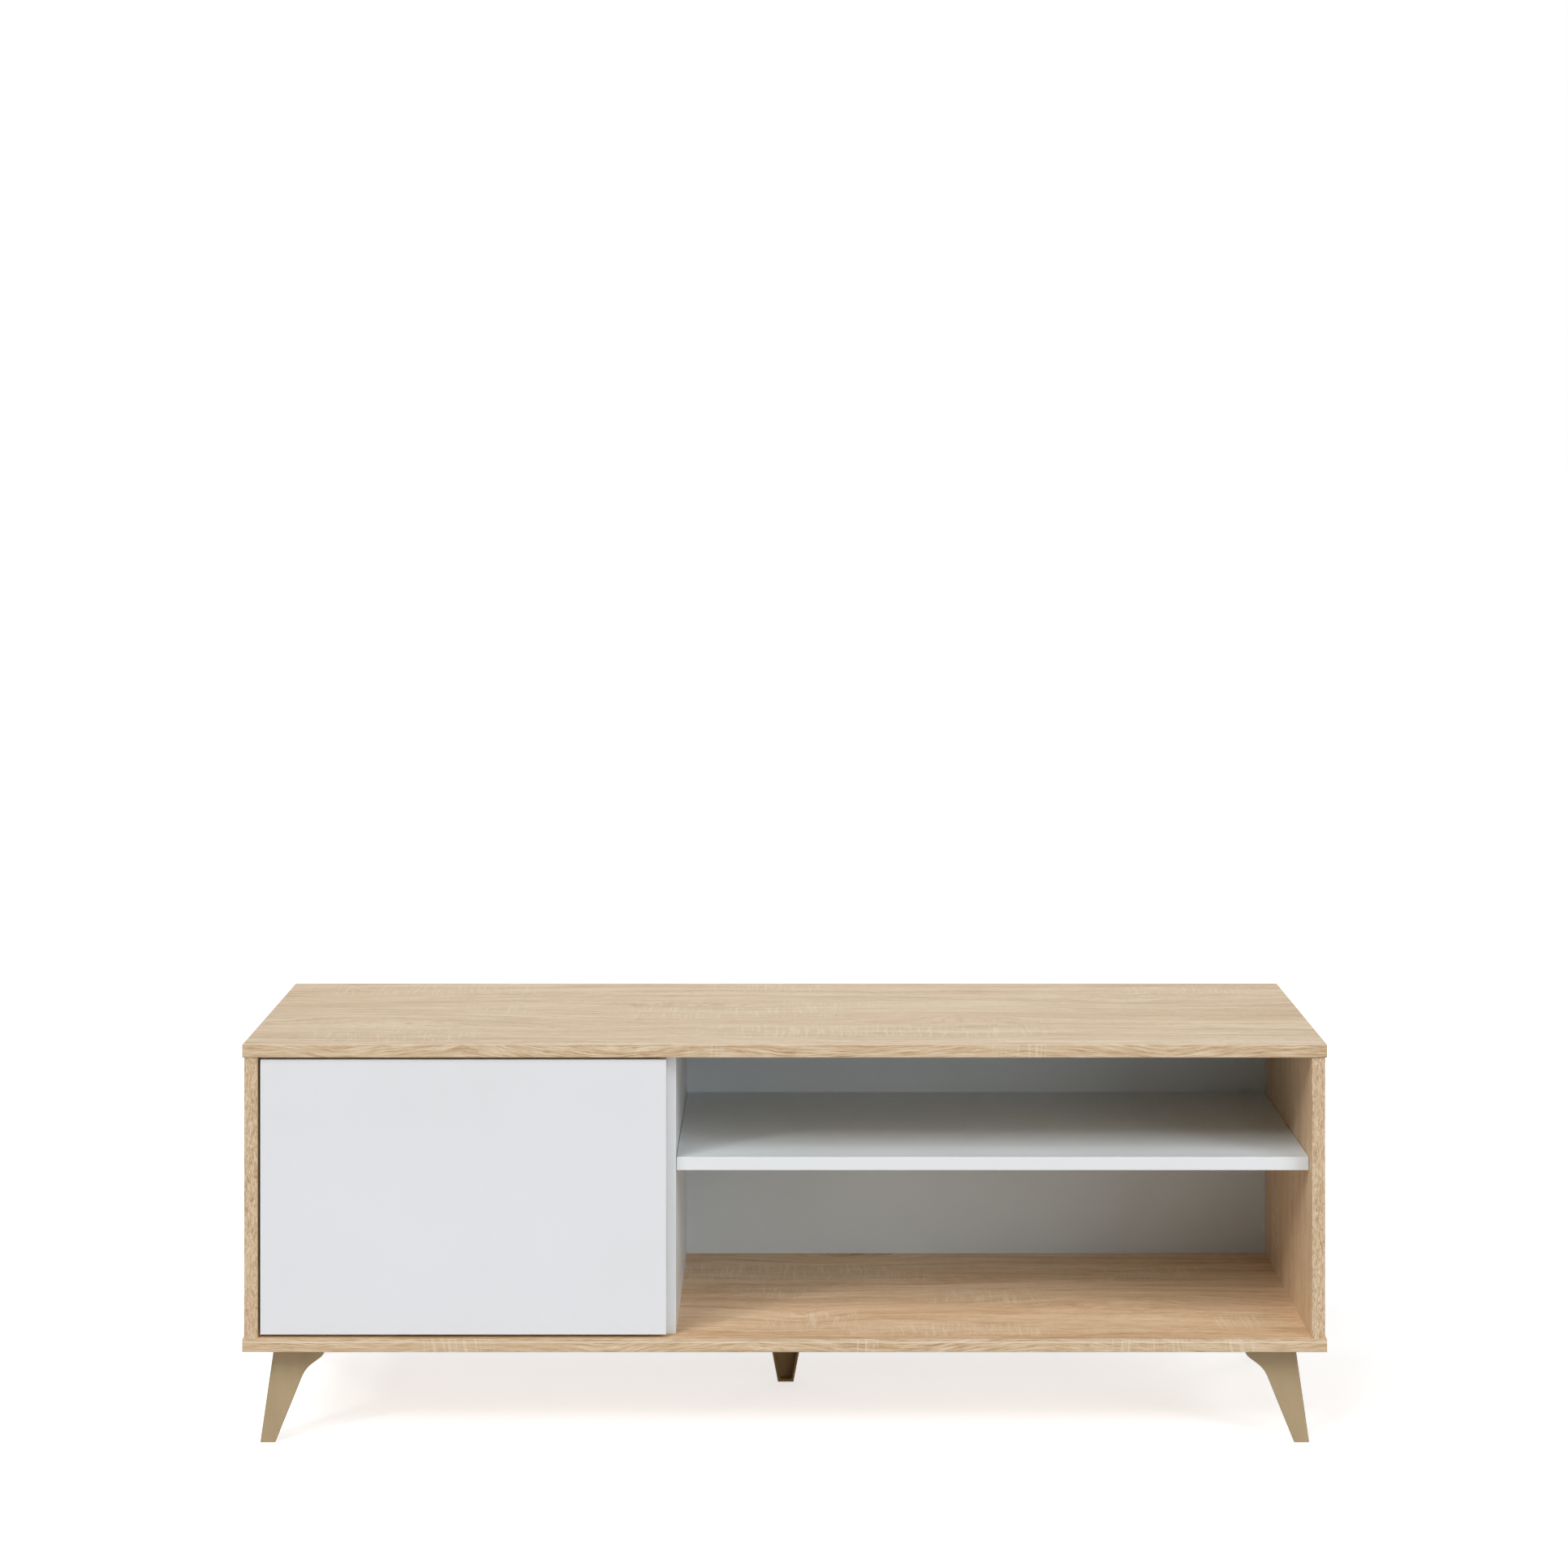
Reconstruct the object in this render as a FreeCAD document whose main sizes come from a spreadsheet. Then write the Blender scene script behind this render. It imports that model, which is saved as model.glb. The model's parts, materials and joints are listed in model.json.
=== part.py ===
import FreeCAD, Part
import math
import os
import Sketcher

V = FreeCAD.Vector
os.makedirs("parts", exist_ok=True)
doc = FreeCAD.newDocument("tv_stand")

# ---------------------------------------------------------------------------
# Driving dimensions, millimetres. The origin is the middle of the footprint on
# the floor, +X to the right, +Y to the back, +Z up.
# ---------------------------------------------------------------------------
TABLE = [
    ("width", 1300), ("depth", 400), ("height", 483), ("board", 16),
    ("leg_height", 114), ("end_overhang", 2), ("front_overhang", 2),
    ("band", 1.0), ("band_round", 0.9),
    ("back_thick", 3), ("back_front_y", 184), ("groove_deep", 7.5), ("groove_play", 0.1),
    ("back_in_groove", 7),
    ("divider_x", -147), ("divider_front_y", -178),
    ("shelf_z", 326.7), ("shelf_play", 0.7), ("shelf_back_y", 183),
    ("door_left_x", -629), ("door_right_x", -142), ("door_low_z", 134), ("door_high_z", 464),
    ("door_front_y", -196), ("door_round", 0.6),
    ("dowel_radius", 4), ("dowel_short", 10), ("dowel_long", 20),
    ("dowel_front_y", -150), ("dowel_back_y", 140),
    ("fitting_front_y", -120), ("fitting_back_y", 110),
    ("cam_radius", 7.5), ("cam_deep", 12.5), ("cam_drop", 34), ("bolt_radius", 3), ("bolt_bore", 4),
    ("cap_radius", 8.5), ("cap_thick", 0.6),
    ("screw_core", 2.5), ("screw_shoulder", 3.5), ("screw_head", 5), ("screw_head_deep", 3),
    ("screw_thread", 34),
    ("pin_radius", 2.5), ("pin_deep", 10), ("pin_front_y", -140), ("pin_back_y", 130),
    ("hinge_low_z", 214), ("hinge_high_z", 384), ("cup_radius", 17.5), ("cup_deep", 11.5),
    ("cup_edge", 22), ("pivot_u", 20), ("pivot_v", 8.8), ("arm_half", 7.5), ("arm_thick", 2.4),
    ("hinge_pin_radius", 1.25), ("plate_y", -145),
    ("latch_x", -154), ("latch_z", 299), ("latch_front_y", -172), ("latch_back_y", -112),
    ("plunger_radius", 3.92), ("plunger_bore", 4.0), ("plunger_tip_y", -178.7),
    ("leg_inset", 33), ("leg_splay", 14.6), ("leg_wall", 4), ("leg_top", 61),
    ("leg_screw", 2), ("leg_screw_head", 3.8), ("leg_screw_bite", 12),
    ("centre_foot_front_y", 56), ("centre_foot_half", 9.9), ("centre_top_half", 30.5),
]
sheet = doc.addObject("Spreadsheet::Sheet", "Dims")
VAL = {}
for row, (alias, value) in enumerate(TABLE, start=1):
    sheet.set("A%d" % row, alias)
    sheet.set("B%d" % row, repr(value))
    sheet.setAlias("B%d" % row, alias)
    VAL[alias] = float(value)
doc.recompute()


class Dim:
    """A length with its value and the sheet expression that gives it."""

    def __init__(self, val, txt):
        self.val, self.txt = float(val), txt

    def __add__(self, o):
        o = dim(o)
        return Dim(self.val + o.val, "(%s + %s)" % (self.txt, o.txt))

    def __sub__(self, o):
        o = dim(o)
        return Dim(self.val - o.val, "(%s - %s)" % (self.txt, o.txt))

    def __mul__(self, o):
        o = dim(o)
        return Dim(self.val * o.val, "(%s * %s)" % (self.txt, o.txt))

    def __neg__(self):
        return Dim(-self.val, "(0 - %s)" % self.txt)

    __radd__ = __add__
    __rmul__ = __mul__

    def __rsub__(self, o):
        return dim(o) - self


def dim(x):
    if isinstance(x, Dim):
        return x
    x = float(x)
    txt = "%.6g" % abs(x)
    return Dim(x, txt if x >= 0 else "(0 - %s)" % txt)


def s(alias):
    return Dim(VAL[alias], "Dims." + alias)


def bind(obj, prop, d):
    obj.setExpression(prop, dim(d).txt)


NODES = []
_n = [0]


def uid(stem):
    _n[0] += 1
    return "%s_%03d" % (stem, _n[0])


def node(obj, label):
    obj.Label = label
    NODES.append(obj)
    return obj


# ---------------------------------------------------------------------------
# PartDesign helpers
# ---------------------------------------------------------------------------
SIGN = {"XY_Plane": 1.0, "XZ_Plane": -1.0, "YZ_Plane": 1.0}


def new_body(label, x, y, z):
    b = doc.addObject("PartDesign::Body", uid("body"))
    b.Label = label
    bind(b, "Placement.Base.x", x)
    bind(b, "Placement.Base.y", y)
    bind(b, "Placement.Base.z", z)
    b.Placement = FreeCAD.Placement(V(dim(x).val, dim(y).val, dim(z).val), FreeCAD.Rotation())
    return b


def new_sketch(b, role, level):
    sk = b.newObject("Sketcher::SketchObject", uid("sketch"))
    plane = [f for f in b.Origin.OriginFeatures if f.Role == role][0]
    sk.AttachmentSupport = [(plane, "")]
    sk.MapMode = "FlatFace"
    lv = dim(level) * SIGN[role]
    sk.AttachmentOffset = FreeCAD.Placement(V(0, 0, lv.val), FreeCAD.Rotation())
    bind(sk, "AttachmentOffset.Base.z", lv)
    return sk


def pin_point(sk, geo, pos, x, y):
    """Hold one point of a sketch at (x, y) from the sketch's own axes."""
    for kind, axis, d in (("DistanceX", -2, dim(x)), ("DistanceY", -1, dim(y))):
        if abs(d.val) < 1e-9:
            sk.addConstraint(Sketcher.Constraint("PointOnObject", geo, pos, axis))
        else:
            k = sk.addConstraint(Sketcher.Constraint(kind, -1, 1, geo, pos, d.val))
            sk.setExpression("Constraints[%d]" % k, d.txt)


def poly(sk, pts):
    pts = [(dim(x), dim(y)) for x, y in pts]
    n = len(pts)
    first = sk.GeometryCount
    for i in range(n):
        a, c = pts[i], pts[(i + 1) % n]
        sk.addGeometry(Part.LineSegment(V(a[0].val, a[1].val, 0), V(c[0].val, c[1].val, 0)), False)
    for i in range(n):
        sk.addConstraint(Sketcher.Constraint("Coincident", first + i, 2, first + (i + 1) % n, 1))
    for i in range(n):
        pin_point(sk, first + i, 1, pts[i][0], pts[i][1])


def rect(sk, x0, y0, x1, y1):
    poly(sk, [(x0, y0), (x1, y0), (x1, y1), (x0, y1)])


def circle(sk, cx, cy, r):
    cx, cy, r = dim(cx), dim(cy), dim(r)
    g = sk.addGeometry(Part.Circle(V(cx.val, cy.val, 0), V(0, 0, 1), r.val), False)
    k = sk.addConstraint(Sketcher.Constraint("Radius", g, r.val))
    sk.setExpression("Constraints[%d]" % k, r.txt)
    pin_point(sk, g, 3, cx, cy)


def pad(b, sk, length):
    p = b.newObject("PartDesign::Pad", uid("pad"))
    p.Profile = sk
    p.Length = dim(length).val
    bind(p, "Length", length)
    sk.Visibility = False
    doc.recompute()
    return p


ROLE = {"X": "YZ_Plane", "Y": "XZ_Plane", "Z": "XY_Plane"}
NORMAL = {"X": 1, "Y": -1, "Z": 1}


def pocket(b, direction, level, draw, depth, want):
    """Cut from the plane at level, in the direction such as '+X', to depth.
    want is the volume in mm3 that it must take away."""
    axis, sign = direction[1], 1 if direction[0] == "+" else -1
    before = b.Shape.Volume
    sk = new_sketch(b, ROLE[axis], level)
    draw(sk)
    p = b.newObject("PartDesign::Pocket", uid("pocket"))
    p.Profile = sk
    p.Length = dim(depth).val
    bind(p, "Length", depth)
    p.Reversed = (sign == NORMAL[axis])
    doc.recompute()
    took = before - b.Shape.Volume
    if abs(took - want) > 0.02 * want + 0.5:
        raise SystemExit("pocket in %s took %.1f, wanted %.1f" % (b.Label, took, want))
    return p


def board(label, lo, hi):
    b = new_body(label, *lo)
    sk = new_sketch(b, "XY_Plane", 0)
    rect(sk, 0, 0, dim(hi[0]) - lo[0], dim(hi[1]) - lo[1])
    pad(b, sk, dim(hi[2]) - lo[2])
    return b


class Board:
    """A board in row coordinates, with its bores and grooves."""

    def __init__(self, label, lo, hi):
        self.lo = [dim(q) for q in lo]
        self.hi = [dim(q) for q in hi]
        self.body = board(label, self.lo, self.hi)
        node(self.body, label)

    def bore(self, direction, surface, centres, r, depth):
        a = direction[1]
        i = "XYZ".index(a)
        o = [j for j in range(3) if j != i]

        def draw(sk):
            for c1, c2 in centres:
                circle(sk, dim(c1) - self.lo[o[0]], dim(c2) - self.lo[o[1]], r)
        want = len(centres) * math.pi * dim(r).val ** 2 * dim(depth).val
        pocket(self.body, direction, dim(surface) - self.lo[i], draw, depth, want)
        return self

    def groove(self, direction, surface, a0, b0, a1, b1, depth):
        a = direction[1]
        i = "XYZ".index(a)
        o = [j for j in range(3) if j != i]

        def draw(sk):
            rect(sk, dim(a0) - self.lo[o[0]], dim(b0) - self.lo[o[1]],
                 dim(a1) - self.lo[o[0]], dim(b1) - self.lo[o[1]])
        want = abs((dim(a1).val - dim(a0).val) * (dim(b1).val - dim(b0).val)) * dim(depth).val
        pocket(self.body, direction, dim(surface) - self.lo[i], draw, depth, want)
        return self


# ---------------------------------------------------------------------------
# Part helpers
# ---------------------------------------------------------------------------
def box(lo, hi):
    o = doc.addObject("Part::Box", uid("box"))
    for p, a, c in (("Length", lo[0], hi[0]), ("Width", lo[1], hi[1]), ("Height", lo[2], hi[2])):
        bind(o, p, dim(c) - a)
    for p, a in (("x", lo[0]), ("y", lo[1]), ("z", lo[2])):
        bind(o, "Placement.Base." + p, a)
    return o


ROT = {"Z": FreeCAD.Rotation(), "X": FreeCAD.Rotation(V(0, 1, 0), 90), "Y": FreeCAD.Rotation(V(1, 0, 0), -90)}


def cyl(start, axis, length, r):
    """Cylinder from start, along +X, +Y or +Z."""
    o = doc.addObject("Part::Cylinder", uid("cyl"))
    bind(o, "Radius", r)
    bind(o, "Height", length)
    o.Placement = FreeCAD.Placement(V(*[dim(q).val for q in start]), ROT[axis])
    for p, a in zip("xyz", start):
        bind(o, "Placement.Base." + p, a)
    return o


def cone(start, axis, length, r0, r1):
    o = doc.addObject("Part::Cone", uid("cone"))
    bind(o, "Radius1", r0)
    bind(o, "Radius2", r1)
    bind(o, "Height", length)
    o.Placement = FreeCAD.Placement(V(*[dim(q).val for q in start]), ROT[axis])
    for p, a in zip("xyz", start):
        bind(o, "Placement.Base." + p, a)
    return o


def hexa(start, axis, length, r):
    o = doc.addObject("Part::Prism", uid("hex"))
    o.Polygon = 6
    bind(o, "Circumradius", r)
    bind(o, "Height", length)
    o.Placement = FreeCAD.Placement(V(*[dim(q).val for q in start]), ROT[axis])
    for p, a in zip("xyz", start):
        bind(o, "Placement.Base." + p, a)
    return o


def fuse(parts):
    if len(parts) == 1:
        return parts[0]
    o = doc.addObject("Part::MultiFuse", uid("fuse"))
    o.Shapes = parts
    o.Refine = True
    return o


def cut(base, tools):
    o = doc.addObject("Part::Cut", uid("cut"))
    o.Base = base
    o.Tool = fuse(tools)
    return o


def group(parts):
    o = doc.addObject("Part::Compound", uid("group"))
    o.Links = parts
    return o


def rounded(lo, hi, r, pick):
    """A box whose edges that pick(a, c) accepts are rounded by r."""
    b = box(lo, hi)
    doc.recompute()
    f = doc.addObject("Part::Fillet", uid("round"))
    f.Base = b
    edges = []
    for i, e in enumerate(b.Shape.Edges, start=1):
        a, c = e.Vertexes[0].Point, e.Vertexes[1].Point
        if pick(a, c):
            edges.append((i, dim(r).val, dim(r).val))
    f.Edges = edges
    return f


def on(axis, value):
    i = "xyz".index(axis)
    return lambda a, c: abs(a[i] - value) < 1e-6 and abs(c[i] - value) < 1e-6


def along(axis):
    i = "xyz".index(axis)
    return lambda a, c: abs(a[i] - c[i]) > 1e-6


def both(*tests):
    return lambda a, c: all(q(a, c) for q in tests)


# ---------------------------------------------------------------------------
# Named planes
# ---------------------------------------------------------------------------
half_w = s("width") * 0.5
half_d = s("depth") * 0.5
t = s("board")
top1 = s("height")
top0 = top1 - t
low0 = s("leg_height")
low1 = low0 + t
out_r = half_w - s("end_overhang")          # outer faces of the sides
in_r = out_r - t                            # inner faces of the sides
side_mid = out_r - t * 0.5
side_front = -half_d + s("front_overhang")
band = s("band")
div_l = s("divider_x")
div_r = div_l + t
div_mid = div_l + t * 0.5
div_f = s("divider_front_y")
back_f = s("back_front_y")
back_b = back_f + s("back_thick")
dowel_y = (s("dowel_front_y"), s("dowel_back_y"))
fit_y = (s("fitting_front_y"), s("fitting_back_y"))
cam_z = top0 - s("cam_drop")

leg_x = half_w - s("leg_inset")
leg_y = half_d - s("leg_inset")
leg_screw_at = [(16, 16), (44, 11), (11, 44)]


def leg_point(turn, px, py):
    """A point of a corner leg, (px, py) in from its corner, in row coordinates."""
    sx = (-1, 1, 1, -1)[turn]
    sy = (-1, -1, 1, 1)[turn]
    c = [(px, py), (-py, px), (-px, -py), (py, -px)][turn]
    return leg_x * sx + c[0], leg_y * sy + c[1]


centre_screws = [(dim(-17), dim(49)), (dim(17), dim(49))]
leg_screws_xy = [leg_point(k, px, py) for k in range(4) for px, py in leg_screw_at] + centre_screws

# ---------------------------------------------------------------------------
# Boards
# ---------------------------------------------------------------------------
g0 = back_f - s("groove_play")
g1 = back_b + s("groove_play")
groove_x = in_r + s("groove_deep")
columns = (-side_mid, side_mid, div_mid)

topb = Board("top_panel", (-half_w + band, -half_d + band, top0), (half_w - band, half_d, top1))
topb.bore("+Z", top0, [(x, y) for x in columns for y in dowel_y], s("dowel_radius"), s("dowel_short"))
topb.bore("+Z", top0, [(x, y) for x in columns for y in fit_y], s("bolt_radius"), 10)
topb.groove("+Z", top0, -groove_x, g0, groove_x, g1, s("groove_deep"))

low = Board("bottom_panel", (-half_w + band, -half_d + band, low0), (half_w - band, half_d, low1))
low.bore("-Z", low1, [(x, y) for x in columns for y in dowel_y], s("dowel_radius"), s("dowel_short"))
low.bore("+Z", low0, [(x, y) for x in columns for y in fit_y], s("screw_shoulder"), t)


def head_ring(sk):
    for x in columns:
        for y in fit_y:
            circle(sk, x - low.lo[0], y - low.lo[1], s("screw_head"))


pocket(low.body, "+Z", dim(0), head_ring, s("screw_head_deep"),
       6 * math.pi * (VAL["screw_head"] ** 2 - VAL["screw_shoulder"] ** 2) * VAL["screw_head_deep"])
low.groove("-Z", low1, -groove_x, g0, groove_x, g1, s("groove_deep"))
low.bore("+Z", low0, leg_screws_xy, s("leg_screw"), s("leg_screw_bite"))

for name, sx in (("left", -1), ("right", 1)):
    x0 = -out_r if sx < 0 else in_r
    x1 = -in_r if sx < 0 else out_r
    mid = side_mid * sx
    side = Board("side_panel_" + name, (x0, side_front + band, low1), (x1, half_d, top0))
    for zs, d in ((top0, "-Z"), (low1, "+Z")):
        side.bore(d, zs, [(mid, y) for y in dowel_y], s("dowel_radius"), s("dowel_long"))
    side.bore("+Z", low1, [(mid, y) for y in fit_y], s("screw_core"), s("screw_thread"))
    outer, into = (-out_r, "+X") if sx < 0 else (out_r, "-X")
    side.bore(into, outer, [(y, cam_z) for y in fit_y], s("cam_radius"), s("cam_deep"))

    def bolt_holes(sk, mid=mid, side=side):
        """Bolt bores from the top edge down into the cam bores."""
        for y in fit_y:
            circle(sk, mid - side.lo[0], y - side.lo[1], s("bolt_bore"))
    k = math.pi * VAL["bolt_bore"] ** 2
    pocket(side.body, "-Z", top0 - low1, bolt_holes, s("cam_drop"), 2 * k * (VAL["cam_drop"] - 7.0))
    if sx < 0:
        side.groove("-X", -in_r, g0, low1, g1, top0, s("groove_deep"))
        side.bore("-X", -in_r, [(s("plate_y"), s(q) + dz) for q in ("hinge_low_z", "hinge_high_z")
                                for dz in (-16, 16)], 1.9, 11)
    else:
        side.groove("+X", in_r, g0, low1, g1, top0, s("groove_deep"))
        side.bore("+X", in_r, [(y, s("shelf_z") - 4.1) for y in (s("pin_front_y"), s("pin_back_y"))],
                  s("pin_radius"), s("pin_deep"))

div = Board("divider_panel", (div_l, div_f + band, low1), (div_r, back_f, top0))
for zs, d in ((top0, "-Z"), (low1, "+Z")):
    div.bore(d, zs, [(div_mid, y) for y in dowel_y], s("dowel_radius"), s("dowel_long"))
div.bore("+Z", low1, [(div_mid, y) for y in fit_y], s("screw_core"), s("screw_thread"))
div.bore("+X", div_l, [(y, cam_z) for y in fit_y], s("cam_radius"), s("cam_deep"))


def div_bolts(sk):
    for y in fit_y:
        circle(sk, div_mid - div.lo[0], y - div.lo[1], s("bolt_bore"))


pocket(div.body, "-Z", top0 - low1, div_bolts, s("cam_drop"),
       2 * math.pi * VAL["bolt_bore"] ** 2 * (VAL["cam_drop"] - 7.0))
div.bore("-X", div_r, [(y, s("shelf_z") - 4.1) for y in (s("pin_front_y"), s("pin_back_y"))],
         s("pin_radius"), s("pin_deep"))
div.bore("+X", div_l, [(-150, s("latch_z") + dz) for dz in (-11.5, 11.5)], 1.6, 10)
back_screw_z = (190, 299, 410)
div.bore("-Y", back_f, [(div_mid, z) for z in back_screw_z], 1.75, 12)

shelf = Board("shelf", (div_r + s("shelf_play"), div_f + band, s("shelf_z")),
              (in_r - s("shelf_play"), s("shelf_back_y"), s("shelf_z") + t))

bx = in_r + s("back_in_groove")
backp = Board("back_panel", (-bx, back_f, low1 - s("back_in_groove")), (bx, back_b, top0 + s("back_in_groove")))
backp.bore("-Y", back_b, [(div_mid, z) for z in back_screw_z], 1.75, s("back_thick"))

door_f = s("door_front_y")
door_b = door_f + t
dl, dr, dz0, dz1 = s("door_left_x"), s("door_right_x"), s("door_low_z"), s("door_high_z")
door = Board("door_panel", (dl + band, door_f, dz0 + band), (dr - band, door_b, dz1 - band))
hinges = (s("hinge_low_z"), s("hinge_high_z"))
cup_x = dl + s("cup_edge")
door.bore("-Y", door_b, [(cup_x, z) for z in hinges], s("cup_radius"), s("cup_deep"))
door.bore("-Y", door_b, [(cup_x + 9.5, z + dz) for z in hinges for dz in (-24, 24)], 1.9, 10)
door.bore("-Y", door_b, [(s("latch_x"), s("latch_z"))], 1.5, 8)

# ---------------------------------------------------------------------------
# Edge bands, with small rounded arrises
# ---------------------------------------------------------------------------
r = s("band_round")
hw, hd = half_w.val, half_d.val


def panel_bands(label, z0, z1):
    front = rounded((-half_w, -half_d, z0), (half_w, -half_d + band, z1), r,
                    lambda a, c: (both(on("y", -hd), along("x"))(a, c)
                                  or both(on("y", -hd), along("z"))(a, c)))
    left = rounded((-half_w, -half_d + band, z0), (-half_w + band, half_d, z1), r,
                   both(on("x", -hw), along("y")))
    right = rounded((half_w - band, -half_d + band, z0), (half_w, half_d, z1), r,
                    both(on("x", hw), along("y")))
    node(group([front, left, right]), label)


panel_bands("top_edge_bands", top0, top1)
panel_bands("bottom_edge_bands", low0, low1)
for name, x0, x1 in (("left", -out_r, -in_r), ("right", in_r, out_r)):
    node(rounded((x0, side_front, low1), (x1, side_front + band, top0), r,
                 both(on("y", side_front.val), along("z"))), "side_edge_band_" + name)
node(rounded((div_l, div_f, low1), (div_r, div_f + band, top0), r,
             both(on("y", div_f.val), along("z"))), "divider_edge_band")
node(rounded((div_r + s("shelf_play"), div_f, s("shelf_z")),
             (in_r - s("shelf_play"), div_f + band, s("shelf_z") + t), r,
             both(on("y", div_f.val), along("x"))), "shelf_edge_band")

q = s("door_round")
front_or_back = lambda a, c: on("y", door_f.val)(a, c) or on("y", door_b.val)(a, c)
strips = [
    rounded((dl, door_f, dz0), (dl + band, door_b, dz1), q,
            both(on("x", dl.val), along("z"), front_or_back)),
    rounded((dr - band, door_f, dz0), (dr, door_b, dz1), q,
            both(on("x", dr.val), along("z"), front_or_back)),
    rounded((dl + band, door_f, dz0), (dr - band, door_b, dz0 + band), q,
            both(on("z", dz0.val), along("x"), front_or_back)),
    rounded((dl + band, door_f, dz1 - band), (dr - band, door_b, dz1), q,
            both(on("z", dz1.val), along("x"), front_or_back)),
]
node(group(strips), "door_edge_bands")

# ---------------------------------------------------------------------------
# Board fixings
# ---------------------------------------------------------------------------
dowels = []
for x in columns:
    for y in dowel_y:
        dowels.append(cyl((x, y, top0 - s("dowel_long")), "Z", s("dowel_long") + s("dowel_short"), s("dowel_radius")))
        dowels.append(cyl((x, y, low1 - s("dowel_short")), "Z", s("dowel_long") + s("dowel_short"), s("dowel_radius")))
node(group(dowels), "dowels")

bolts = []
for x in columns:
    for y in fit_y:
        bolts.append(fuse([
            cyl((x, y, top0), "Z", 10, s("bolt_radius")),
            cyl((x, y, top0 - 2), "Z", 2, 3.6),
            cyl((x, y, cam_z + 3), "Z", s("cam_drop") - 4, 2.2),
            cyl((x, y, cam_z - 1.5), "Z", 5, 3.4),
        ]))
node(group(bolts), "cam_bolts")

cams = []
for x, direction in ((-out_r, 1), (div_l, 1), (out_r, -1)):
    for y in fit_y:
        start = x if direction > 0 else x - s("cam_deep")
        face = x if direction > 0 else x - 2.2
        bolt_x = x + t * 0.5 * direction
        cams.append(cut(cyl((start, y, cam_z), "X", s("cam_deep"), s("cam_radius")), [
            cyl((bolt_x, y, cam_z - 4), "Z", 14, 3.9),
            box((face, y - 5, cam_z - 0.8), (face + 2.2, y + 5, cam_z + 0.8)),
            box((face, y - 0.8, cam_z - 5), (face + 2.2, y + 0.8, cam_z + 5)),
        ]))
node(group(cams), "cam_locks")

caps = []
for y in fit_y:
    caps.append(cyl((-out_r - s("cap_thick"), y, cam_z), "X", s("cap_thick"), s("cap_radius")))
    caps.append(cyl((out_r, y, cam_z), "X", s("cap_thick"), s("cap_radius")))
node(group(caps), "cam_cover_caps")

confirmats = []
for x in columns:
    for y in fit_y:
        confirmats.append(cut(fuse([
            cyl((x, y, low0), "Z", s("screw_head_deep"), s("screw_head")),
            cyl((x, y, low0), "Z", t, s("screw_shoulder")),
            cyl((x, y, low0), "Z", t + s("screw_thread"), s("screw_core")),
        ]), [hexa((x, y, low0), "Z", 2.4, 2.1)]))
node(group(confirmats), "confirmat_screws")

node(group([cut(fuse([
    cyl((div_mid, back_b, z), "Y", 1.8, 3.5),
    cyl((div_mid, back_f - 12, z), "Y", s("back_thick") + 13, 1.75),
]), [box((div_mid - 2.4, back_b + 0.9, z - 0.4), (div_mid + 2.4, back_b + 2, dim(z) + 0.4)),
     box((div_mid - 0.4, back_b + 0.9, z - 2.4), (div_mid + 0.4, back_b + 2, dim(z) + 2.4))])
    for z in back_screw_z]), "back_panel_screws")

pins = []
pz = s("shelf_z") - 4.1
for y in (s("pin_front_y"), s("pin_back_y")):
    for face, d in ((div_r, 1), (in_r, -1)):
        a = face - s("pin_deep") if d > 0 else face - 8
        collar = face if d > 0 else face - 0.6
        tab = face if d > 0 else face - 8
        pins.append(fuse([
            cyl((a, y, pz), "X", s("pin_deep") + 8, s("pin_radius")),
            cyl((collar, y, pz), "X", 0.6, 3.9),
            box((tab, y - 5, pz + 2.1), (tab + 8, y + 5, pz + 4.1)),
            box((tab, y - 1, pz), (tab + 8, y + 1, pz + 3)),
        ]))
node(group(pins), "shelf_supports")


# ---------------------------------------------------------------------------
# Legs. A corner leg is an L of two tapering walls with a top flange and a sole;
# it splays outwards to the foot both ways. The four are one moulding, turned.
# ---------------------------------------------------------------------------
def bend(p0, corner, p1, reach):
    """The tangent arc that rounds a corner of a profile, as three points."""
    a = V(p0[0] - corner[0], p0[1] - corner[1], 0).normalize()
    c = V(p1[0] - corner[0], p1[1] - corner[1], 0).normalize()
    half = a.getAngle(c) / 2
    r = reach * math.tan(half)
    p = V(corner[0], corner[1], 0)
    mid = p + (a + c).normalize() * (r / math.sin(half) - r)
    s0, s1 = p + a * reach, p + c * reach
    return (s0.x, s0.y), (mid.x, mid.y), (s1.x, s1.y)


def wall(outline, swap, thick, height, splay):
    """One wall: steps of (in, down) points, one for a corner and three for an
    arc, on the splayed plane, thickened inwards."""
    def at(p):
        z = height - p[1]
        out = -splay * p[1] / height
        return V(out, p[0], z) if swap else V(p[0], out, z)
    edges, first, last = [], None, None
    for step in outline:
        pts = [at(p) for p in step]
        if last is not None and (last - pts[0]).Length > 1e-6:
            edges.append(Part.makeLine(last, pts[0]))
        if first is None:
            first = pts[0]
        if len(pts) == 3:
            edges.append(Part.Arc(*pts).toShape())
        last = pts[-1]
    edges.append(Part.makeLine(last, first))
    face = Part.Face(Part.Wire(edges))
    n = V(1, 0, -splay / height) if swap else V(0, 1, -splay / height)
    n.normalize()
    return face.extrude(n * thick)


def quad(x0, y0, x1, y1, z):
    return Part.makePolygon([V(x0, y0, z), V(x1, y0, z), V(x1, y1, z), V(x0, y1, z), V(x0, y0, z)])


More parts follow.
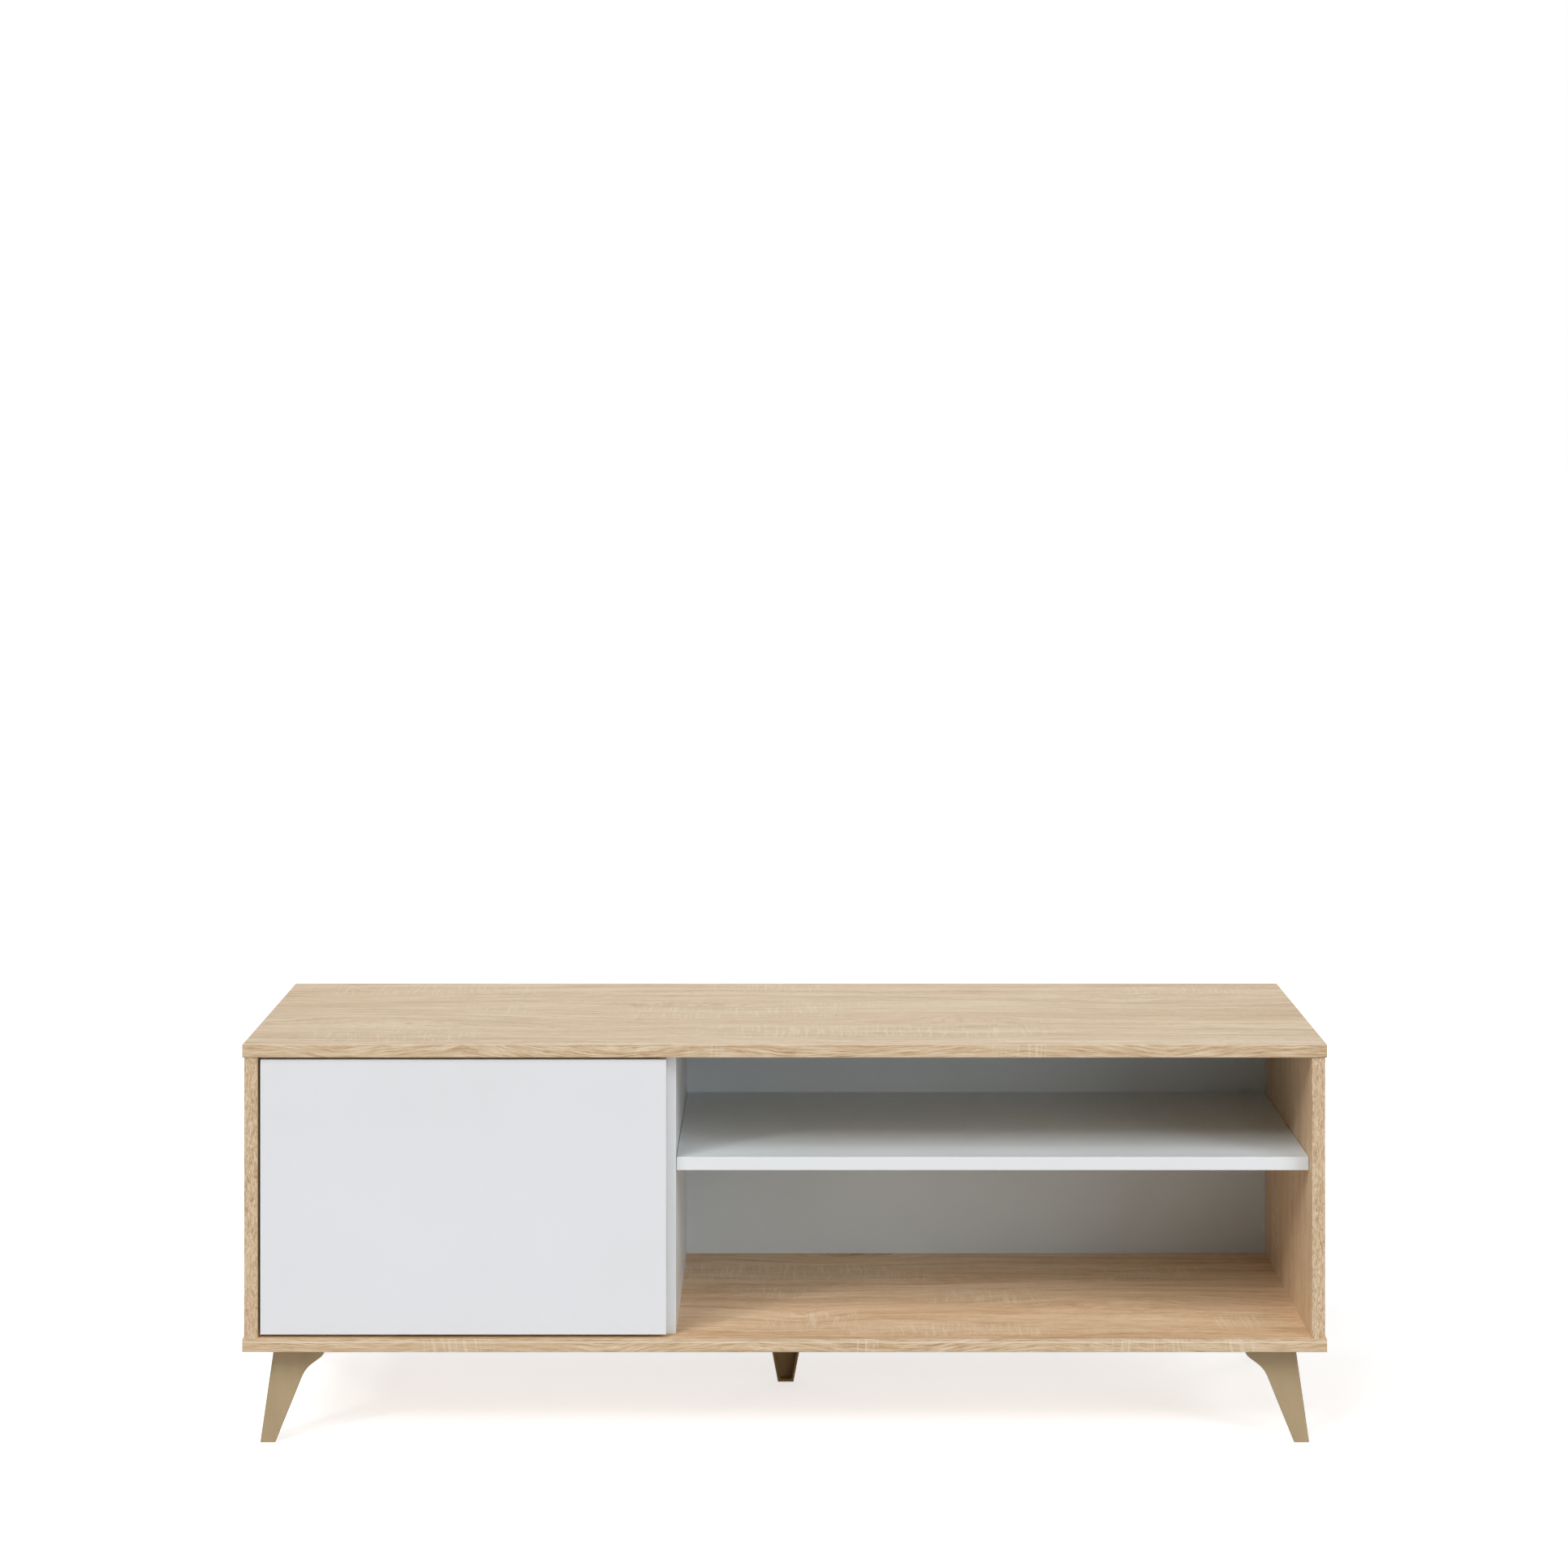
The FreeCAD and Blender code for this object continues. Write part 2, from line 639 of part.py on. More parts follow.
def corner_leg_shape():
    h, sp, th, top = VAL["leg_height"], VAL["leg_splay"], VAL["leg_wall"], VAL["leg_top"]
    knee, lip = (37.6, 28.9), (top, 12.0)
    prof = [[(-5.62, -3)], [(-sp * (h + 3) / h - 6, h + 3)], [(2.1, h + 3)],
            bend((2.1, h + 3), knee, lip, 11.0), bend(knee, lip, (top, -3), 6.5), [(top, -3)]]
    a = wall(prof, False, th, h, sp)
    b = wall(prof, True, th, h, sp)
    # both slabs run past the ridge and are trimmed back to the two outer planes
    c0, c1 = -sp, 0.0
    keep = Part.makeLoft([quad(c0, c0, 120, 120, 0), quad(c1, c1, 120, 120, h)], True, True)
    body = a.fuse(b).common(keep).removeSplitter()
    flange = Part.Face(Part.makePolygon([V(1, 1, h - 3), V(top, 1, h - 3), V(top, 9, h - 3), V(9, top, h - 3),
                                         V(1, top, h - 3), V(1, 1, h - 3)])).extrude(V(0, 0, 3))
    sole = Part.makeBox(sp + 3.0 - 1.2, sp + 3.0 - 1.2, 3, V(-sp + 1.2, -sp + 1.2, 0))
    rib = Part.Face(Part.makePolygon([V(1, 1, h), V(10, 10, h), V(-9, -9, 6), V(-12, -12, 2), V(1, 1, h)]))
    rib = rib.extrude(V(1, -1, 0).normalize() * 1.0)
    rib.translate(V(-0.35, 0.35, 0))
    body = body.fuse([flange, sole, rib]).removeSplitter()
    ridge = []
    for e in body.Edges:
        p, w = e.Vertexes[0].Point, e.Vertexes[-1].Point
        if abs(p.x - p.y) < 1e-3 and abs(w.x - w.y) < 1e-3 and e.Length > 60 \
                and min(p.x, w.x) < -sp + 0.2 and max(p.x, w.x) < 1.0:
            ridge.append(e)
    if len(ridge) != 1:
        raise SystemExit("corner leg: %d ridge edges" % len(ridge))
    body = body.makeFillet(2.6, ridge)
    # the free outer edges, from the foot round the curve to the board
    free = []
    for e in body.Edges:
        mid = e.valueAt((e.FirstParameter + e.LastParameter) / 2)
        ends = [v.Point for v in e.Vertexes]
        for side, along in (("y", "x"), ("x", "y")):
            on = all(abs(getattr(q, side) + sp * (h - q.z) / h) < 1e-3 for q in ends + [mid])
            if on and max(q.z for q in ends) > 0.01 and min(q.z for q in ends) < h - 0.01 \
                    and max(getattr(q, along) for q in ends) > 30:
                free.append(e)
    if len(free) != 10:
        raise SystemExit("corner leg: %d free edges" % len(free))
    body = body.makeFillet(0.8, free)
    for px, py in leg_screw_at:
        body = body.cut(Part.makeCylinder(VAL["leg_screw"] + 0.1, 6, V(px, py, h - 4)))
    return body


leg_shape = corner_leg_shape()
if not leg_shape.isValid() or len(leg_shape.Solids) != 1:
    raise SystemExit("corner leg: %d solids, valid %s" % (len(leg_shape.Solids), leg_shape.isValid()))
for k, name in enumerate(("front_left", "front_right", "rear_right", "rear_left")):
    leg = doc.addObject("Part::Feature", uid("leg"))
    leg.Shape = leg_shape.Solids[0]
    x, y = leg_point(k, 0, 0)
    leg.Placement = FreeCAD.Placement(V(x.val, y.val, 0), FreeCAD.Rotation(V(0, 0, 1), 90.0 * k))
    node(leg, "leg_" + name)


def centre_leg_shape():
    h, f = VAL["leg_height"], VAL["centre_foot_front_y"]
    b0, b1, wt = VAL["centre_foot_half"], VAL["centre_top_half"], 2.6
    outer = Part.makeLoft([quad(-b0, f, b0, f + 16, 0), quad(-b1, f - 22, b1, f + 10, h)], True, True)
    k = (b1 - b0) / h

    def half(z):
        return b0 + k * z - wt
    inner = Part.makeLoft([quad(-half(3), f - 12, half(3), f + 16 - wt, 3),
                           quad(-half(h - 3), f - 36, half(h - 3), f + 10 - wt, h - 3)], True, True)
    low_edges = []
    for e in inner.Edges:
        p, w = e.Vertexes[0].Point, e.Vertexes[-1].Point
        if abs(p.z - 3) < 1e-6 and abs(w.z - 3) < 1e-6 and abs(p.x - w.x) < 1e-6:
            low_edges.append(e)
    inner = inner.makeFillet(4.0, low_edges)
    body = outer.cut(inner)
    upright = []
    for e in body.Edges:
        p, w = e.Vertexes[0].Point, e.Vertexes[-1].Point
        back = max(p.y, w.y)
        if e.Length > 100 and abs(abs(p.x) - abs(w.x)) > 10 and back > f + 15.9:
            upright.append(e)
    body = body.makeFillet(2.0, upright)
    for px, py in centre_screws:
        body = body.cut(Part.makeCylinder(VAL["leg_screw"] + 0.1, 6, V(px.val, py.val, h - 4)))
    return body


cl = centre_leg_shape()
if not cl.isValid() or len(cl.Solids) != 1:
    raise SystemExit("centre leg: %d solids, valid %s" % (len(cl.Solids), cl.isValid()))
leg = doc.addObject("Part::Feature", uid("leg"))
leg.Shape = cl.Solids[0]
leg.Placement = FreeCAD.Placement(V(0, 0, 0), FreeCAD.Rotation())
node(leg, "leg_centre")

screws = []
for x, y in leg_screws_xy:
    screws.append(cut(fuse([
        cyl((x, y, low0 - 5.2), "Z", 2.2, s("leg_screw_head")),
        cyl((x, y, low0 - 4), "Z", s("leg_screw_bite") + 4, s("leg_screw")),
    ]), [box((x - 2.4, y - 0.45, low0 - 5.2), (x + 2.4, y + 0.45, low0 - 4.2)),
         box((x - 0.45, y - 2.4, low0 - 5.2), (x + 0.45, y + 2.4, low0 - 4.2))]))
node(group(screws), "leg_screws")

# ---------------------------------------------------------------------------
# Concealed hinges for the inset door, turning on one pin each
# ---------------------------------------------------------------------------
piv_x = dl + s("pivot_u")
piv_y = door_f + s("pivot_v")
pr = s("hinge_pin_radius")


def arm_shape(z):
    """Cranked strap from the pin round the door's edge to the mounting plate."""
    px, py, hz, th = piv_x.val, piv_y.val, VAL["arm_half"], VAL["arm_thick"]
    x0, y0 = dl.val, door_f.val
    ang = math.radians(39.0)
    line = [V(px, py, 0), V(px + 24 * math.cos(ang), py + 24 * math.sin(ang), 0), None, None, None]
    line[2] = V(line[1].x, y0 + 37, 0)
    line[3] = V(x0 + 4.2, y0 + 37, 0)
    line[4] = V(x0 + 4.2, y0 + 84, 0)

    def offset(side):
        out = []
        for i, p in enumerate(line):
            ds = []
            if i > 0:
                ds.append((p - line[i - 1]).normalize())
            if i < len(line) - 1:
                ds.append((line[i + 1] - p).normalize())
            ns = [V(-d.y, d.x, 0) for d in ds]
            n = ns[0] if len(ns) == 1 else (ns[0] + ns[1])
            if len(ns) == 2:
                n = n * (1.0 / (1.0 + ns[0].dot(ns[1])))
            out.append(p + n * (side * th / 2))
        return out
    pts = offset(1) + list(reversed(offset(-1)))
    pts.append(pts[0])
    strap = Part.Face(Part.makePolygon(pts)).extrude(V(0, 0, 2 * hz))
    bends = []
    for e in strap.Edges:
        p, w = e.Vertexes[0].Point, e.Vertexes[-1].Point
        if abs(p.x - w.x) < 1e-6 and abs(p.y - w.y) < 1e-6:
            for c in line[1:4]:
                d = math.hypot(p.x - c.x, p.y - c.y)
                if d < 3:
                    inside = any((V(p.x, p.y, 0) - c).dot((o - c).normalize()) > 0.2 for o in
                                 (line[line.index(c) - 1], line[line.index(c) + 1]))
                    bends.append((e, inside))
    shape = strap.makeFillet(3.4, [e for e, i in bends if not i])
    inner = []
    for e in shape.Edges:
        p, w = e.Vertexes[0].Point, e.Vertexes[-1].Point
        for be, i in bends:
            if i:
                bp = be.Vertexes[0].Point
                if e.Length > 2 * hz - 0.01 and math.hypot(p.x - bp.x, p.y - bp.y) < 1e-3 \
                        and math.hypot(w.x - bp.x, w.y - bp.y) < 1e-3:
                    inner.append(e)
    if inner:
        shape = shape.makeFillet(1.0, inner)
    shape = shape.fuse(Part.makeCylinder(3.0, 2 * hz, V(px, py, 0)))
    shape = shape.cut(Part.makeCylinder(pr.val + 0.05, 2 * hz + 2, V(px, py, -1)))
    shape = shape.cut(Part.makeCylinder(2.6, 10, V(x0 + 0, y0 + 71, hz), V(1, 0, 0)))
    shape = shape.removeSplitter()
    return shape


for name, z in (("lower", hinges[0]), ("upper", hinges[1])):
    arm = doc.addObject("Part::Feature", uid("arm"))
    arm.Shape = arm_shape(z.val).Solids[0]
    arm.Placement = FreeCAD.Placement(V(0, 0, z.val - VAL["arm_half"]), FreeCAD.Rotation())
    node(arm, "hinge_arm_" + name)
    py = s("plate_y")
    wall_x = -in_r
    plate = cut(fuse([
        box((wall_x, py - 8, z - 25), (wall_x + 2, py + 8, z + 25)),
        box((wall_x, py - 8, z - 7.5), (wall_x + 6, py + 33, z + 7.5)),
    ]), [cyl((wall_x - 1, py, z - 16), "X", 6, 1.9), cyl((wall_x - 1, py, z + 16), "X", 6, 1.9),
         cyl((wall_x + 1, door_f + 71, z), "X", 8, 2.5)])
    node(plate, "hinge_plate_" + name)
    fl0, fl1 = door_b, door_b + 1.2
    cup = fuse([
        cyl((cup_x, door_b - s("cup_deep") + 0.1, z), "Y", s("cup_deep") - 0.1 + 1.2, s("cup_radius") - 0.05),
        cyl((cup_x, fl0, z), "Y", 1.2, 19.5),
        box((cup_x + 4, fl0, z - 24), (cup_x + 15, fl1, z + 24)),
        cyl((cup_x + 9.5, fl0, z - 24), "Y", 1.2, 5.5),
        cyl((cup_x + 9.5, fl0, z + 24), "Y", 1.2, 5.5),
    ])
    cup = cut(cup, [cyl((cup_x, door_b - s("cup_deep") + 0.9, z), "Y", 20, 16.6),
                    cyl((cup_x + 9.5, fl0 - 1, z - 24), "Y", 4, 1.9),
                    cyl((cup_x + 9.5, fl0 - 1, z + 24), "Y", 4, 1.9)])
    cheeks = [box((piv_x - 5.5, door_b - s("cup_deep") + 0.5, z + a), (piv_x + 5.5, piv_y + 3.6, z + a + 1.6))
              for a in (8.2, -9.8)]
    cup = cut(fuse([cup] + cheeks), [cyl((piv_x, piv_y, z - 12), "Z", 24, pr)])
    node(cup, "hinge_cup_" + name)

node(group([cyl((piv_x, piv_y, z - 9.8), "Z", 19.6, pr) for z in hinges]), "hinge_pins")
node(group([cut(fuse([cyl((-in_r + 2, s("plate_y"), z + dz), "X", 2, 3.6),
                      cyl((-in_r - 11, s("plate_y"), z + dz), "X", 13.5, 1.9)]),
                [box((-in_r + 3, s("plate_y") - 2.2, z + dz - 0.4), (-in_r + 5, s("plate_y") + 2.2, z + dz + 0.4)),
                 box((-in_r + 3, s("plate_y") - 0.4, z + dz - 2.2), (-in_r + 5, s("plate_y") + 0.4, z + dz + 2.2))])
            for z in hinges for dz in (-16, 16)]), "hinge_plate_screws")
node(group([cut(fuse([cyl((cup_x + 9.5, door_b + 1.2, z + dz), "Y", 1.8, 3.5),
                      cyl((cup_x + 9.5, door_b - 10, z + dz), "Y", 11.5, 1.9)]),
                [box((cup_x + 9.5 - 2.1, door_b + 2.2, z + dz - 0.4), (cup_x + 9.5 + 2.1, door_b + 4, z + dz + 0.4)),
                 box((cup_x + 9.5 - 0.4, door_b + 2.2, z + dz - 2.1), (cup_x + 9.5 + 0.4, door_b + 4, z + dz + 2.1))])
            for z in hinges for dz in (-24, 24)]), "hinge_cup_screws")
node(group([cut(fuse([cyl((dl + 5.4, door_f + 71, z), "X", 2.4, 4.2),
                      cyl((dl - 1.8, door_f + 71, z), "X", 8, 2.5)]),
                [box((dl + 6.6, door_f + 71 - 2.8, z - 0.5), (dl + 9, door_f + 71 + 2.8, z + 0.5)),
                 box((dl + 6.6, door_f + 71 - 0.5, z - 2.8), (dl + 9, door_f + 71 + 0.5, z + 2.8))])
            for z in hinges]), "hinge_arm_screws")

# ---------------------------------------------------------------------------
# Push latch on the divider's hidden side, and its strike on the door
# ---------------------------------------------------------------------------
lx, lz = s("latch_x"), s("latch_z")
lf, lb = s("latch_front_y"), s("latch_back_y")
housing = cut(fuse([
    rounded((div_l - 14, lf, lz - 7), (div_l, lb, lz + 7), 1.6,
            lambda a, c: both(on("x", div_l.val - 14), along("y"))(a, c)),
    rounded((div_l - 3, -158, lz - 15.5), (div_l, -142, lz + 15.5), 3.0, along("x")),
]), [cyl((lx, lf - 1, lz), "Y", lb - lf - 3, s("plunger_bore")),
     cyl((div_l - 5, -150, lz - 11.5), "X", 8, 1.6), cyl((div_l - 5, -150, lz + 11.5), "X", 8, 1.6)])
node(housing, "latch_housing")
node(group([cut(fuse([cyl((div_l - 4.8, -150, lz + dz), "X", 1.8, 3.0),
                      cyl((div_l - 4, -150, lz + dz), "X", 14, 1.6)]),
                [box((div_l - 6, -152, lz + dz - 0.4), (div_l - 4, -148, lz + dz + 0.4)),
                 box((div_l - 6, -150.4, lz + dz - 2), (div_l - 4, -149.6, lz + dz + 2))])
            for dz in (-11.5, 11.5)]), "latch_screws")

tip = s("plunger_tip_y")
plunger = cut(fuse([
    cyl((lx, tip, lz), "Y", 3.2, 5.0),
    cyl((lx, tip + 3, lz), "Y", 38.7, s("plunger_radius")),
]), [cyl((lx, -165, lz), "Y", 40, 2.8)])
node(plunger, "latch_plunger")

# The spring is a coil round the plunger's axis, seated on the housing's end wall
coil_r, wire_r = 2.0, 0.32
coil_start, coil_len = -161.5, (lb.val - 4) - (-161.5) - wire_r * 2
helix = Part.makeHelix(3.6, coil_len, coil_r)
helix.rotate(V(0, 0, 0), V(1, 0, 0), -90)
helix.translate(V(lx.val, coil_start + wire_r, lz.val))
start = helix.Edges[0].firstVertex().Point if hasattr(helix.Edges[0], "firstVertex") else helix.Vertexes[0].Point
tangent = helix.Edges[0].tangentAt(helix.Edges[0].FirstParameter)
ring = Part.Wire([Part.makeCircle(wire_r, start, tangent)])
coil = Part.Wire(helix.Edges).makePipeShell([ring], True, True)
spring = doc.addObject("Part::Feature", uid("spring"))
spring.Shape = coil if coil.ShapeType == "Solid" else coil.Solids[0]
node(spring, "latch_spring")

strike_disc = cut(cyl((lx, door_b, lz), "Y", 1.0, 7.0), [cone((lx, door_b, lz), "Y", 1.0, 1.5, 3.0)])
node(strike_disc, "strike_plate")
node(cut(fuse([cone((lx, door_b, lz), "Y", 1.0, 1.5, 3.0), cyl((lx, door_b - 8, lz), "Y", 8.2, 1.5)]),
         [box((lx - 1.8, door_b + 0.5, lz - 0.35), (lx + 1.8, door_b + 2, lz + 0.35)),
          box((lx - 0.35, door_b + 0.5, lz - 1.8), (lx + 0.35, door_b + 2, lz + 1.8))]), "strike_screw")

# ---------------------------------------------------------------------------
# Checks, then one STEP file per sub-part
# ---------------------------------------------------------------------------
doc.recompute()
bad = []
for o in doc.Objects:
    if "Invalid" in o.State or "Error" in o.State:
        bad.append("%s (%s): %s" % (o.Name, o.Label, o.State))
for o in NODES:
    sh = o.Shape
    if sh.isNull() or not sh.isValid() or not sh.Solids:
        bad.append("%s: null or invalid shape" % o.Label)
    elif isinstance(sh.Volume, float) and sh.Volume <= 0:
        bad.append("%s: no volume" % o.Label)
if bad:
    for line in bad:
        print(line)
    raise SystemExit("the model has failed objects")
if len({o.Label for o in NODES}) != len(NODES):
    raise SystemExit("labels repeat")
for o in NODES:
    bb = o.Shape.BoundBox
    print("%-22s solids %2d  volume %12.1f  x %8.2f %8.2f  y %8.2f %8.2f  z %7.2f %7.2f" % (
        o.Label, len(o.Shape.Solids), o.Shape.Volume, bb.XMin, bb.XMax, bb.YMin, bb.YMax, bb.ZMin, bb.ZMax))
    o.Shape.exportStep("parts/" + o.Label + ".step")
print(len(NODES), "sub-parts written")
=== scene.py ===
import json
import math
import bpy
import mathutils
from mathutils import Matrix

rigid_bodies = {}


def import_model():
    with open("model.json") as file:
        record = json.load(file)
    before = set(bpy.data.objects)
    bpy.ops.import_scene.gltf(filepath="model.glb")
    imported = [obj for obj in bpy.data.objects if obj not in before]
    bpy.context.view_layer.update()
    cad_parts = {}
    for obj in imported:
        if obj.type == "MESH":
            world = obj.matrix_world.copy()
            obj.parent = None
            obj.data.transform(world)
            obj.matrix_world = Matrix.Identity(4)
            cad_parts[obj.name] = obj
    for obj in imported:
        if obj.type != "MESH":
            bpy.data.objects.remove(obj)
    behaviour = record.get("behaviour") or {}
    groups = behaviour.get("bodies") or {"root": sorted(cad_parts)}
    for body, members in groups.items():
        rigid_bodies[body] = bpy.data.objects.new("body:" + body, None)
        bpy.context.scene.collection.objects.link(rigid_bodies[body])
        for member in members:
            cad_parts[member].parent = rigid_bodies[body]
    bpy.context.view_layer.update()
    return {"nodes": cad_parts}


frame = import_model()
scene = bpy.context.scene
nodes_in_frame = frame["nodes"]


# ---------------------------------------------------------------------------
# Small node-tree helper
# ---------------------------------------------------------------------------
class Tree:
    def __init__(self, name):
        self.mat = bpy.data.materials.new(name)
        self.mat.use_nodes = True
        self.nt = self.mat.node_tree
        self.nt.nodes.clear()
        self.out = self.nt.nodes.new("ShaderNodeOutputMaterial")
        self.bsdf = self.nt.nodes.new("ShaderNodeBsdfPrincipled")
        self.nt.links.new(self.bsdf.outputs[0], self.out.inputs[0])
        self.co = None

    def n(self, kind, **props):
        node = self.nt.nodes.new(kind)
        for k, v in props.items():
            setattr(node, k, v)
        return node

    def link(self, a, b):
        self.nt.links.new(a, b)

    def put(self, socket, value):
        if isinstance(value, bpy.types.NodeSocket):
            self.link(value, socket)
        else:
            socket.default_value = value

    def coords(self):
        if self.co is None:
            self.co = self.n("ShaderNodeTexCoord").outputs["Object"]
        return self.co

    def vmath(self, op, a, b=None, scale=None):
        m = self.n("ShaderNodeVectorMath", operation=op)
        self.put(m.inputs[0], a)
        if b is not None:
            self.put(m.inputs[1], b)
        if scale is not None:
            self.put(m.inputs["Scale"], scale)
        return m.outputs["Value"] if op in ("DOT_PRODUCT", "LENGTH") else m.outputs["Vector"]

    def scaled(self, v, s, loc=(0, 0, 0)):
        m = self.n("ShaderNodeMapping")
        self.put(m.inputs["Vector"], v)
        m.inputs["Scale"].default_value = s
        m.inputs["Location"].default_value = loc
        return m.outputs[0]

    def math(self, op, a, b=None, c=None, clamp=False):
        m = self.n("ShaderNodeMath", operation=op, use_clamp=clamp)
        for i, v in enumerate((a, b, c)):
            if v is not None:
                self.put(m.inputs[i], v)
        return m.outputs[0]

    def noise(self, v, scale=1.0, detail=2.0, rough=0.5, distort=0.0, out="Fac", lac=2.0):
        t = self.n("ShaderNodeTexNoise")
        self.put(t.inputs["Vector"], v)
        self.put(t.inputs["Scale"], scale)
        t.inputs["Detail"].default_value = detail
        t.inputs["Roughness"].default_value = rough
        t.inputs["Lacunarity"].default_value = lac
        t.inputs["Distortion"].default_value = distort
        return t.outputs[out]

    def ramp(self, fac, stops, mode="LINEAR"):
        r = self.n("ShaderNodeValToRGB")
        r.color_ramp.interpolation = mode
        els = r.color_ramp.elements
        while len(els) > 1:
            els.remove(els[-1])
        els[0].position, els[0].color = stops[0][0], as_rgba(stops[0][1])
        for p, c in stops[1:]:
            e = els.new(p)
            e.color = as_rgba(c)
        self.put(r.inputs[0], fac)
        return r.outputs["Color"]

    def remap(self, v, a, b, c=0.0, d=1.0, smooth=False):
        m = self.n("ShaderNodeMapRange", clamp=True)
        if smooth:
            m.interpolation_type = "SMOOTHSTEP"
        self.put(m.inputs["Value"], v)
        for k, x in zip(("From Min", "From Max", "To Min", "To Max"), (a, b, c, d)):
            m.inputs[k].default_value = x
        return m.outputs["Result"]

    def mix(self, fac, a, b, blend="MIX"):
        m = self.n("ShaderNodeMix", data_type="RGBA", blend_type=blend)
        self.put(m.inputs["Factor"], fac)
        self.put(m.inputs[6], as_rgba(a) if not isinstance(a, bpy.types.NodeSocket) else a)
        self.put(m.inputs[7], as_rgba(b) if not isinstance(b, bpy.types.NodeSocket) else b)
        return m.outputs[2]

    def bump(self, height, strength=0.2, distance=0.0005, normal=None):
        b = self.n("ShaderNodeBump")
        b.inputs["Strength"].default_value = strength
        b.inputs["Distance"].default_value = distance
        self.put(b.inputs["Height"], height)
        if normal is not None:
            self.put(b.inputs["Normal"], normal)
        return b.outputs[0]

    def separate(self, v):
        s = self.n("ShaderNodeSeparateXYZ")
        self.put(s.inputs[0], v)
        return s.outputs

    def combine(self, x, y, z):
        s = self.n("ShaderNodeCombineXYZ")
        for i, v in enumerate((x, y, z)):
            self.put(s.inputs[i], v)
        return s.outputs[0]


def lin(c):
    c = c / 255.0
    return c / 12.92 if c <= 0.04045 else ((c + 0.055) / 1.055) ** 2.4


def rgb(r, g, b):
    return (lin(r), lin(g), lin(b), 1.0)


def as_rgba(c):
    if isinstance(c, (int, float)):
        return (c, c, c, 1.0)
    return tuple(c) if len(c) == 4 else (c[0], c[1], c[2], 1.0)


